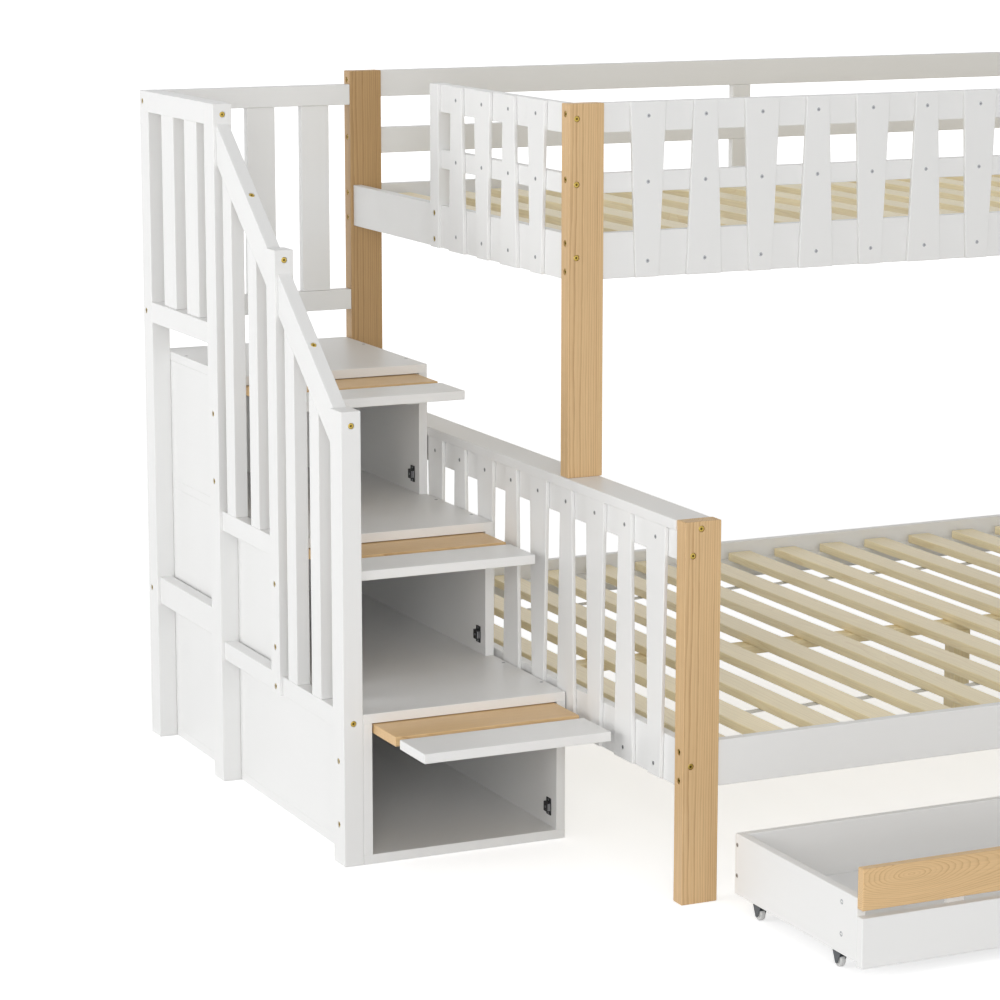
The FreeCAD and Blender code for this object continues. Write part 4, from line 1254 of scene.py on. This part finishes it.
@dataclass
class Screws:
    """Round cross-head screws that are driven into a face."""

    node: str
    body: str
    name: str
    radius: float = 3.6 * MM
    height: float = 0.8 * MM
    cam_radius: float = 5.0 * MM
    cam_height: float = 0.6 * MM

    def facing(self, points: Array) -> tuple[Array, Array]:
        """Finds where a screw head sits and which way it faces.

        Args:
            points: The head's points (n, 3), a flat cone.

        Returns:
            The middle of its seat and the outward direction.
        """
        low, high = extent(points)
        axis = int(np.argmin(high - low))
        at_low = points[points[:, axis] < low[axis] + 0.01 * MM]
        at_high = points[points[:, axis] > high[axis] - 0.01 * MM]
        outward = 1.0 if np.ptp(at_low, axis=0).max() > np.ptp(at_high, axis=0).max() else -1.0
        seat = (low + high) / 2
        seat[axis] = low[axis] if outward > 0 else high[axis]
        way = np.zeros(3)
        way[axis] = outward
        return seat, way

    def head(self, radius: float, height: float) -> Surface:
        """Makes a domed head with a cross recess.

        Args:
            radius: Its radius.
            height: How far it stands out.

        Returns:
            The head on its own z axis.
        """
        rings = [(radius, 0.0), (radius * 0.97, height * 0.35)]
        rings += [(radius * k, height * (1 - 0.6 * k * k)) for k in (0.78, 0.52, 0.26)]
        return lathe(rings, 16, Tool.CROSS, radius * 0.66)

    def build(self) -> Piece:
        """Makes every head, and the drawers' larger cam nuts, as one piece.

        Returns:
            The dressed piece.
        """
        parts = []
        middle = np.mean([np.array(v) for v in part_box(self.node)], axis=0)
        for points in islands(self.node):
            size = np.ptp(points, axis=0)
            if size.min() > 2 * self.height:
                outward = 1.0 if points[:, 0].mean() > middle[0] else -1.0
                seat = points.mean(0)
                seat[0] = points[:, 0].max() if outward > 0 else points[:, 0].min()
                seat[0] -= outward * self.cam_height / 2
                nut = self.head(self.cam_radius, self.cam_height)
                parts.append(placed(nut, seat, np.array([outward, 0, 0])))
            else:
                seat, way = self.facing(points)
                parts.append(placed(self.head(self.radius, self.height), seat, way))
        return finished(self.name, parts, STEEL, self.body, (self.node,), 50.0)


@dataclass
class BedFrame:
    """Posts, rails, slats and guards of both beds."""

    bolts: Bolts
    post_edge: float = 1.5 * MM
    rail_edge: float = 1.6 * MM
    slat_edge: float = 1.4 * MM
    bed_slat_edge: float = 2.2 * MM
    strap_sag: float = 2.0 * MM
    strap_steps: int = 161
    slat_middle: float = 26.5 * MM
    notch_margin: float = 5.0 * MM

    def build(self) -> None:
        """Makes the bed's wooden pieces."""
        for node, finish in (
            # The rear posts take the darker copy of the pine finish, which is painted shade.
            ("rear_posts", SHADED_POST),
            ("lower_front_posts", PINE_POST),
            ("upper_front_posts", PINE_POST),
        ):
            corners = [eight_corners(points) for points in islands(node)]
            joinery = Joinery(finish, self.post_edge)
            joinery.make(node, ROOT, corners, self.bolts.recesses(corners))
        for node in (
            "end_caps",
            "end_top_rails",
            "end_bottom_rails",
            "lower_side_rails",
            "upper_rails",
            "slat_ledgers",
            "front_guard_rails",
            "rear_guard_rails",
            "end_guard_rails",
        ):
            Joinery(WHITE, self.rail_edge).make(node, ROOT)
        for node in ("end_slats", "front_guard_slats", "end_guard_slats"):
            Joinery(WHITE, self.slat_edge, Grain.Z).make(node, ROOT)
        for number, node in enumerate(("lower_slats", "upper_slats")):
            rng = np.random.default_rng(SEED + number)
            Joinery(PINE_SLAT, self.bed_slat_edge, Grain.Y, rng).make(node, ROOT)
        Joinery(PINE_SLAT, self.rail_edge).make("centre_beam", ROOT)
        self.build_entrance_post()
        self.build_straps()

    def build_entrance_post(self) -> None:
        """Makes the post beside the entrance, notched over the bed's end rail."""
        node = "entrance_post"
        box = node_box(node)
        low, high = box[0, 0, 0], box[1, 1, 1]
        rail = [eight_corners(points) for points in islands("upper_rails")]
        head_rail = min(rail, key=lambda c: float(c[..., 0].mean()))
        notch = head_rail[0, 0, 0].copy(), head_rail[1, 1, 1].copy()
        margin = self.notch_margin
        notch[0][1], notch[1][1] = low[1] - margin, high[1] + margin
        notch[0][2] = low[2] - margin
        cutter = rounded_block(
            box_corners(*notch), 0.05 * MM, Grain.Z, np.random.default_rng(SEED)
        )
        corners = [box_corners(low, high)]
        cutters = [cutter.bare(), *self.bolts.recesses(corners)]
        Joinery(WHITE, self.rail_edge).make(node, ROOT, corners, cutters)

    def build_straps(self) -> None:
        """Makes the tapes under the slats, which sag a little between two slats.

        A tape drops by sag * sin^2(pi x / pitch) from slat to slat.
        """
        parts = []
        fronts = sorted(float(points[:, 0].min()) for points in islands("lower_slats"))
        pitch = fronts[1] - fronts[0]
        for points in islands("slat_straps"):
            low, high = extent(points)
            steps = self.strap_steps
            x = np.linspace(low[0], high[0], steps)
            wave = np.sin(math.pi * (x - fronts[0] - self.slat_middle) / pitch) ** 2
            drop = self.strap_sag * wave
            drop[[0, -1]] = 0
            across = np.array([low[1], high[1], high[1], low[1]])
            level = np.array([low[2], low[2], high[2], high[2]])
            grid = np.stack(
                [
                    np.repeat(x[:, None], 4, axis=1),
                    np.broadcast_to(across, (steps, 4)),
                    level[None, :] - drop[:, None],
                ],
                axis=-1,
            )
            faces = grid_faces(steps, 4, closed=True)
            faces.append((3, 2, 1, 0))
            faces.append(tuple(range((steps - 1) * 4, steps * 4)))
            flat = grid.reshape(-1, 3)
            parts.append(Surface(flat, faces, flat - low, np.zeros(len(flat))))
        finished("straps_dressed", parts, TAPE, ROOT, ("slat_straps",), outwards=True)


@dataclass
class Stair:
    """Outer posts, rails, balusters, step cabinet, doors and catches."""

    bolts: Bolts
    post_edge: float = 1.5 * MM
    rail_edge: float = 1.5 * MM
    panel_edge: float = 0.8 * MM
    door_edge: float = 1.5 * MM
    strike_edge: float = 0.4 * MM
    back_edge: float = 0.5 * MM
    panel: float = 17.0 * MM
    catch_plate: float = 2.0 * MM
    catch_edge: float = 1.2 * MM
    catch_plate_edge: float = 0.8 * MM
    catch_screw_radius: float = 2.2 * MM
    catch_screw_height: float = 0.9 * MM
    catch_screw_inset: float = 3.4 * MM
    rivet_sink: float = 0.2 * MM
    pole_edge: float = 0.3 * MM
    tread_screw_radius: float = 3.6 * MM
    tread_screw_height: float = 0.3 * MM
    tread_screw_rows: tuple[float, ...] = (80.0 * MM, 240.0 * MM)
    landing_screw_rows: tuple[float, ...] = (80.0 * MM, 290.0 * MM)

    def build(self) -> None:
        """Makes the whole stair."""
        for node in ("stair_posts", "stair_handrails"):
            corners = [eight_corners(points) for points in islands(node)]
            joinery = Joinery(WHITE, self.post_edge)
            joinery.make(node, ROOT, corners, self.bolts.recesses(corners))
        for node in ("stair_side_rails", "stair_balusters", "stair_back_guard"):
            Joinery(WHITE, self.rail_edge).make(node, ROOT)
        for node in (
            "cabinet_base",
            "cabinet_left_panels",
            "cabinet_right_panels",
            "cabinet_treads",
            "cabinet_landing",
        ):
            Joinery(WHITE, self.panel_edge, Grain.Y).make(node, ROOT)
        Joinery(WHITE, self.back_edge, Grain.X).make("cabinet_back_panels", ROOT)
        for number in (1, 2, 3):
            self.build_door(f"door_{number}")
        self.build_tread_screws()
        self.build_catches()
        self.dress_pivots()

    def build_door(self, name: str) -> None:
        """Makes a flip-up door: pine strip, board with battens, and steel strike.

        Args:
            name: The door's CAD body.
        """
        rng = np.random.default_rng(SEED + int(name[-1]))
        in_log = (rng.uniform(-0.05, 0.05), 0.09 + rng.uniform(0.0, 0.02), 0.01)
        strip = Joinery(PINE_STRIP, self.door_edge, Grain.X, rng, in_log)
        strip.make(f"{name}_strip", name, [node_box(f"{name}_strip")])
        solids = [eight_corners(points) for points in islands(f"{name}_board")]
        strike = min(solids, key=lambda c: float(np.prod(c[1, 1, 1] - c[0, 0, 0])))
        boards = [c for c in solids if c is not strike]
        Joinery(WHITE, self.rail_edge).make(f"{name}_board", name, boards)
        plate = Joinery(STEEL, self.strike_edge).blocks([strike])[0]
        finished(f"{name}_strike", [plate.bare()], STEEL, name)

    def build_tread_screws(self) -> None:
        """Sets the small screws that hold each tread on its side panels."""
        parts = []
        screws = Screws("cabinet_treads", ROOT, "tread_screws")
        head = screws.head(self.tread_screw_radius, self.tread_screw_height)
        rows = [(points, self.tread_screw_rows) for points in islands("cabinet_treads")]
        rows.append((islands("cabinet_landing")[0], self.landing_screw_rows))
        for points, setbacks in rows:
            low, high = extent(points)
            for x in (low[0] + self.panel / 2, high[0] - self.panel / 2):
                for setback in setbacks:
                    seat = np.array([x, low[1] + setback, high[2]])
                    parts.append(placed(head, seat, np.array([0, 0, 1.0])))
        finished("tread_screws", parts, STEEL, ROOT, angle=50.0)

    def build_catches(self) -> None:
        """Makes the magnetic catches: housing, wall plate, screws and pole strips."""
        shells, fixings = [], []
        rng = np.random.default_rng(SEED)
        screws = Screws("catch_poles", ROOT, "catch_screws")
        screw = screws.head(self.catch_screw_radius, self.catch_screw_height)
        inwards = np.array([-1.0, 0, 0])
        for points in islands("catch_bodies"):
            low, high = extent(points)
            front = points[points[:, 0] < low[0] + 0.01 * MM]
            wall = high[0] - self.catch_plate
            housing = box_corners(
                np.array([low[0], front[:, 1].min(), front[:, 2].min()]),
                np.array([wall, front[:, 1].max(), front[:, 2].max()]),
            )
            shells.append(rounded_block(housing, self.catch_edge, Grain.Y, rng))
            plate = box_corners(np.array([wall, low[1], low[2]]), high)
            shells.append(rounded_block(plate, self.catch_plate_edge, Grain.Y, rng))
            middle = (housing[0, 0, 0] + housing[1, 1, 1]) / 2
            inset = self.catch_screw_inset
            for x, z in (
                (low[0] + self.rivet_sink, middle[2]),
                (wall, low[2] + inset),
                (wall, high[2] - inset),
            ):
                fixings.append(placed(screw, np.array([x, middle[1], z]), inwards))
        plain = [shell.bare() for shell in shells]
        finished("catches_dressed", plain, BLACK, ROOT, ("catch_bodies",))
        poles = [eight_corners(points) for points in islands("catch_poles")]
        strips = [rounded_block(c, self.pole_edge, Grain.Z, rng) for c in poles]
        # On steel the tone paints shade, so the strips get a tone of 0 and no painted shade.
        for strip in strips:
            strip.tone[:] = 0.0
        finished("catch_poles_dressed", strips + fixings, STEEL, ROOT, ("catch_poles",))

    def dress_pivots(self) -> None:
        """Gives the hidden pivot pins their steel."""
        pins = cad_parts["door_pivots"]
        pins.data.materials.clear()
        pins.data.materials.append(STEEL.material())


@dataclass
class Drawer:
    """A rolling drawer: boards, slotted front, battens, fixings and casters."""

    name: str
    board: float = 16.0 * MM
    floor_lift: float = 4.5 * MM
    floor_thickness: float = 9.0 * MM
    edge: float = 1.6 * MM
    front_edge: float = 2.0 * MM
    strip_in_log: Triple = (0.40, -0.016, 0.0)
    wheel_radius: float = 11.0 * MM
    wheel_sides: int = 40
    axle_radius: float = 1.6 * MM
    wheel_width: float = 10.0 * MM
    wheel_side_gap: float = 0.8 * MM
    fork_length: float = 24.0 * MM
    fork_tip: float = 5.0 * MM
    cheek: float = 1.5 * MM
    cheek_bevel: float = 0.3 * MM
    plate_edge: float = 0.4 * MM
    hood_inner: float = 11.9 * MM
    hood_outer: float = 12.7 * MM

    def build(self) -> None:
        """Makes the whole drawer."""
        seed = SEED + sum(map(ord, self.name))
        low, high = (np.array(v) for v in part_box(f"{self.name}_box"))
        t = self.board
        inner_low, inner_high = low[0] + t, high[0] - t
        floor = low[2] + self.floor_lift
        boards = [
            box_corners(low, np.array([inner_low, high[1], high[2]])),
            box_corners(np.array([inner_high, low[1], low[2]]), high),
            box_corners(
                np.array([inner_low, high[1] - t, low[2]]), np.array([inner_high, high[1], high[2]])
            ),
            box_corners(
                np.array([inner_low, low[1], floor]),
                np.array([inner_high, high[1] - t, floor + self.floor_thickness]),
            ),
        ]
        Joinery(WHITE, self.edge).make(f"{self.name}_box", self.name, boards)
        Joinery(WHITE, self.front_edge).make(f"{self.name}_front_board", self.name)
        rng = np.random.default_rng(seed)
        strip = Joinery(PINE_STRIP, self.front_edge, Grain.X, rng, self.strip_in_log)
        strip.make(f"{self.name}_front_strip", self.name)
        Screws(f"{self.name}_screws", self.name, f"{self.name}_fixings").build()
        self.build_forks()
        for number in range(1, 5):
            self.build_wheel(f"{self.name}_wheel_{number}")

    def build_wheel(self, node: str) -> None:
        """Turns a nylon wheel with a crowned tread, a web and a hub.

        Args:
            node: The wheel's CAD node, which is also its body.
        """
        low, high = (np.array(v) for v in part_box(node))
        middle = (low + high) / 2
        r, w = self.wheel_radius, self.wheel_width / 2
        half = [
            (self.axle_radius, w),
            (3.6 * MM, w),
            (4.0 * MM, w - 0.4 * MM),
            (4.2 * MM, w - 1.6 * MM),
            (7.4 * MM, w - 1.6 * MM),
            (7.8 * MM, w - 0.3 * MM),
            (r - 1.8 * MM, w),
            (r - 0.7 * MM, w - 0.8 * MM),
            (r - 0.1 * MM, w - 2.4 * MM),
            (r, 0.0),
        ]
        rings = [(radius, -height) for radius, height in half[:-1]] + half[::-1]
        turned = lathe(rings, self.wheel_sides)
        faces = turned.faces[:-2] + grid_bore(len(rings), self.wheel_sides)
        wheel = placed(Surface(turned.points, faces), middle, np.array([1.0, 0, 0]))
        finished(f"{node}_dressed", [wheel], WHEEL, node, (node,), 35.0)

    def build_forks(self) -> None:
        """Makes each caster's fork: top plate, two cheeks, hood and axle."""
        parts = []
        rng = np.random.default_rng(SEED)
        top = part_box(f"{self.name}_forks")[1].z
        reach = self.fork_length / 2
        half = self.wheel_width / 2 + self.wheel_side_gap + self.cheek
        axle = lathe(
            [
                (1.0 * MM, -half - 0.3 * MM),
                (2.2 * MM, -half - 0.2 * MM),
                (2.4 * MM, -half + 0.2 * MM),
                (1.5 * MM, -half + 0.2 * MM),
                (1.5 * MM, half - 0.2 * MM),
                (2.4 * MM, half - 0.2 * MM),
                (2.2 * MM, half + 0.2 * MM),
                (1.0 * MM, half + 0.3 * MM),
            ],
            20,
        )
        for number in range(1, 5):
            low, high = (np.array(v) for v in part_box(f"{self.name}_wheel_{number}"))
            middle = (low + high) / 2
            plate = box_corners(
                np.array([middle[0] - half, middle[1] - reach, top - self.cheek]),
                np.array([middle[0] + half, middle[1] + reach, top]),
            )
            parts.append(rounded_block(plate, self.plate_edge, Grain.Y, rng))
            outline = self.cheek_outline(middle[2], top - self.cheek * 0.5)
            cheek = plate_of(outline, self.cheek, self.cheek_bevel)
            for start in (middle[0] - half, middle[0] + half - self.cheek):
                shift = np.array([start, middle[1], 0.0])
                parts.append(Surface(cheek.points + shift, cheek.faces))
            parts.append(placed(axle, middle, np.array([1.0, 0, 0])))
            parts.append(self.hood(middle))
        plain = [part.bare() for part in parts]
        nodes = (f"{self.name}_forks",)
        finished(f"{self.name}_forks_dressed", plain, FORK, self.name, nodes, outwards=True)

    def cheek_outline(self, axle: float, top: float) -> Array:
        """Draws a cheek: wide at the top, with a round end about the axle.

        The end is the arc (tip sin a, axle - tip cos a) for a from -60 to 60 degrees.

        Args:
            axle: The axle's height.
            top: The cheek's upper edge.

        Returns:
            The outline (n, 2) as y and z, anticlockwise, with y from the axle.
        """
        angle = np.radians(np.linspace(-60, 60, 13))
        end = np.stack(
            [self.fork_tip * np.sin(angle), axle - self.fork_tip * np.cos(angle)], axis=-1
        )
        reach = self.fork_length / 2 - 0.4 * MM
        return np.concatenate([end, [[reach, top], [-reach, top]]])

    def hood(self, middle: Array) -> Surface:
        """Makes the thin arc over a wheel.

        Args:
            middle: The wheel's middle.

        Returns:
            A closed shell.
        """
        angle = np.radians(np.linspace(40, 140, 15))
        inner, outer = self.hood_inner, self.hood_outer
        side = self.wheel_width / 2 + self.wheel_side_gap
        ring = []
        for radius, x in ((inner, -side), (inner, side), (outer, side), (outer, -side)):
            arc = np.stack(
                [
                    np.full_like(angle, x),
                    radius * np.cos(angle),
                    radius * np.sin(angle),
                ],
                axis=-1,
            )
            ring.append(arc + middle)
        points = np.stack(ring, axis=1)
        faces = grid_faces(len(angle), 4, closed=True)
        faces.append((0, 1, 2, 3))
        last = (len(angle) - 1) * 4
        faces.append((last, last + 3, last + 2, last + 1))
        return Surface(points.reshape(-1, 3), faces)


def grid_bore(rings: int, sides: int) -> Faces:
    """Joins a turned shape's last ring to its first, which makes its bore.

    Args:
        rings: Number of rings.
        sides: Points round each ring.

    Returns:
        The bore's faces.
    """
    start = (rings - 1) * sides
    return [(start + k, start + (k + 1) % sides, (k + 1) % sides, k) for k in range(sides)]


# ------------------------------------------------------------------------------ studio


@dataclass
class Studio:
    """Pale floor, soft lamps, a plain world and the camera."""

    lens: float = 119.697
    eye: Triple = (-3.3061, -5.1727, 1.7150)
    forward: Triple = (0.41554678, 0.88948873, -0.19008069)
    floor_size: float = 160.0
    floor_tone: float = 0.78
    near_lift: float = 0.6
    far_lift: float = 1.0
    horizon: float = 0.62
    zenith: float = 0.38

    def build(self) -> None:
        """Makes the floor, the world, the lamps and the camera."""
        self.build_floor()
        self.build_world()
        self.lamp("left", (-9.5, 1.2, 2.0), 5.5, 340.0)
        self.lamp("camera_side", (-3.6, -5.7, 1.9), 2.5, 108.0)
        self.lamp("front", (-1.0, -8.0, 0.9), 2.0, 50.0)
        self.lamp("top", (0.0, -1.5, 6.0), 4.2, 28.0)
        self.build_camera()
        bpy.context.scene.view_settings.view_transform = "Standard"

    def build_floor(self) -> None:
        """Lays a pale floor that shows white and keeps the bed's shadow.

        The floor gives itself light for the camera alone: a little near the bed,
        where the lamps reach, and full white further off.
        """
        half = self.floor_size / 2
        ground = np.array([[-half, -half], [half, -half], [half, half], [-half, half]])
        points = np.c_[ground, np.full(4, -0.5 * MM)]
        floor = new_object("studio_floor", Surface(points, [(0, 1, 2, 3)]))
        made = bpy.data.materials.new("studio_floor")
        made.use_nodes = True
        graph = Graph(made.node_tree)
        tone = (self.floor_tone,) * 3
        graph.fix(Base_Color=(*tone, 1.0), Roughness=1.0, Specular_IOR_Level=0.0)
        place = graph.add("ShaderNodeTexCoord").outputs["Object"]
        away = graph.add("ShaderNodeVectorMath", {"operation": "LENGTH"}, n0=place).outputs["Value"]
        lift = graph.ramp(away, 1.5, 8.0, self.near_lift, self.far_lift)
        seen = graph.math("MULTIPLY", self.seen(graph), lift)
        graph.fix(Emission_Color=(1, 1, 1, 1))
        graph.feed("Emission Strength", seen)
        floor.data.materials.append(made)

    def seen(self, graph: Graph) -> Socket:
        """Adds 1 for rays by which the eye, metal or glass sees, and 0 for lighting.

        Args:
            graph: The tree to add to.

        Returns:
            The value's socket.
        """
        path = graph.add("ShaderNodeLightPath").outputs
        mirrored = graph.math("MAXIMUM", path["Is Glossy Ray"], path["Is Transmission Ray"])
        return graph.math("MAXIMUM", path["Is Camera Ray"], mirrored)

    def build_world(self) -> None:
        """Lights the room plainly, and shows it white."""
        world = bpy.data.worlds.new("studio")
        bpy.context.scene.world = world
        world.use_nodes = True
        graph = Graph(world.node_tree)
        back = world.node_tree.nodes["Background"]
        place = graph.add("ShaderNodeTexCoord").outputs["Generated"]
        height = graph.add("ShaderNodeSeparateXYZ", n0=place).outputs[2]
        level = graph.ramp(height, 0.25, 0.75, self.horizon, self.zenith)
        seen = self.seen(graph)
        kept = graph.math("MULTIPLY", level, graph.math("SUBTRACT", 1.0, seen))
        graph.tree.links.new(graph.math("ADD", kept, seen), back.inputs["Strength"])
        back.inputs["Color"].default_value = (1, 1, 1, 1)

    def lamp(self, name: str, place: Triple, size: float, power: float) -> None:
        """Adds a large soft lamp that faces the bed and stays out of the picture.

        Args:
            name: What it is called.
            place: Where it stands, in metres.
            size: Side of its square face, in metres.
            power: Its power in watts.
        """
        light = bpy.data.lights.new("lamp_" + name, "AREA")
        light.shape = "SQUARE"
        light.size = size
        light.energy = power
        holder = bpy.data.objects.new("lamp_" + name, light)
        bpy.context.scene.collection.objects.link(holder)
        holder.location = place
        holder.visible_camera = False
        way = Vector((0.0, 0.2, 0.6)) - Vector(place)
        holder.rotation_euler = way.to_track_quat("-Z", "Y").to_euler()

    def build_camera(self) -> None:
        """Stands the camera where the photograph was taken from."""
        data = bpy.data.cameras.new("camera")
        data.lens = self.lens
        data.sensor_width = 36.0
        data.clip_end = 300.0
        camera = bpy.data.objects.new("camera", data)
        bpy.context.scene.collection.objects.link(camera)
        camera.location = self.eye
        camera.rotation_euler = Vector(self.forward).to_track_quat("-Z", "Y").to_euler()
        bpy.context.scene.camera = camera


def main() -> None:
    """Builds every sub-assembly and the studio round them."""
    logging.basicConfig(level=logging.INFO, format="%(message)s")
    bolts = Bolts()
    BedFrame(bolts).build()
    Stair(bolts).build()
    bolts.build()
    Screws("slat_screws", ROOT, "screws_dressed").build()
    for name in ("head_drawer", "foot_drawer"):
        Drawer(name).build()
    Studio().build()


if __name__ == "__main__":
    main()
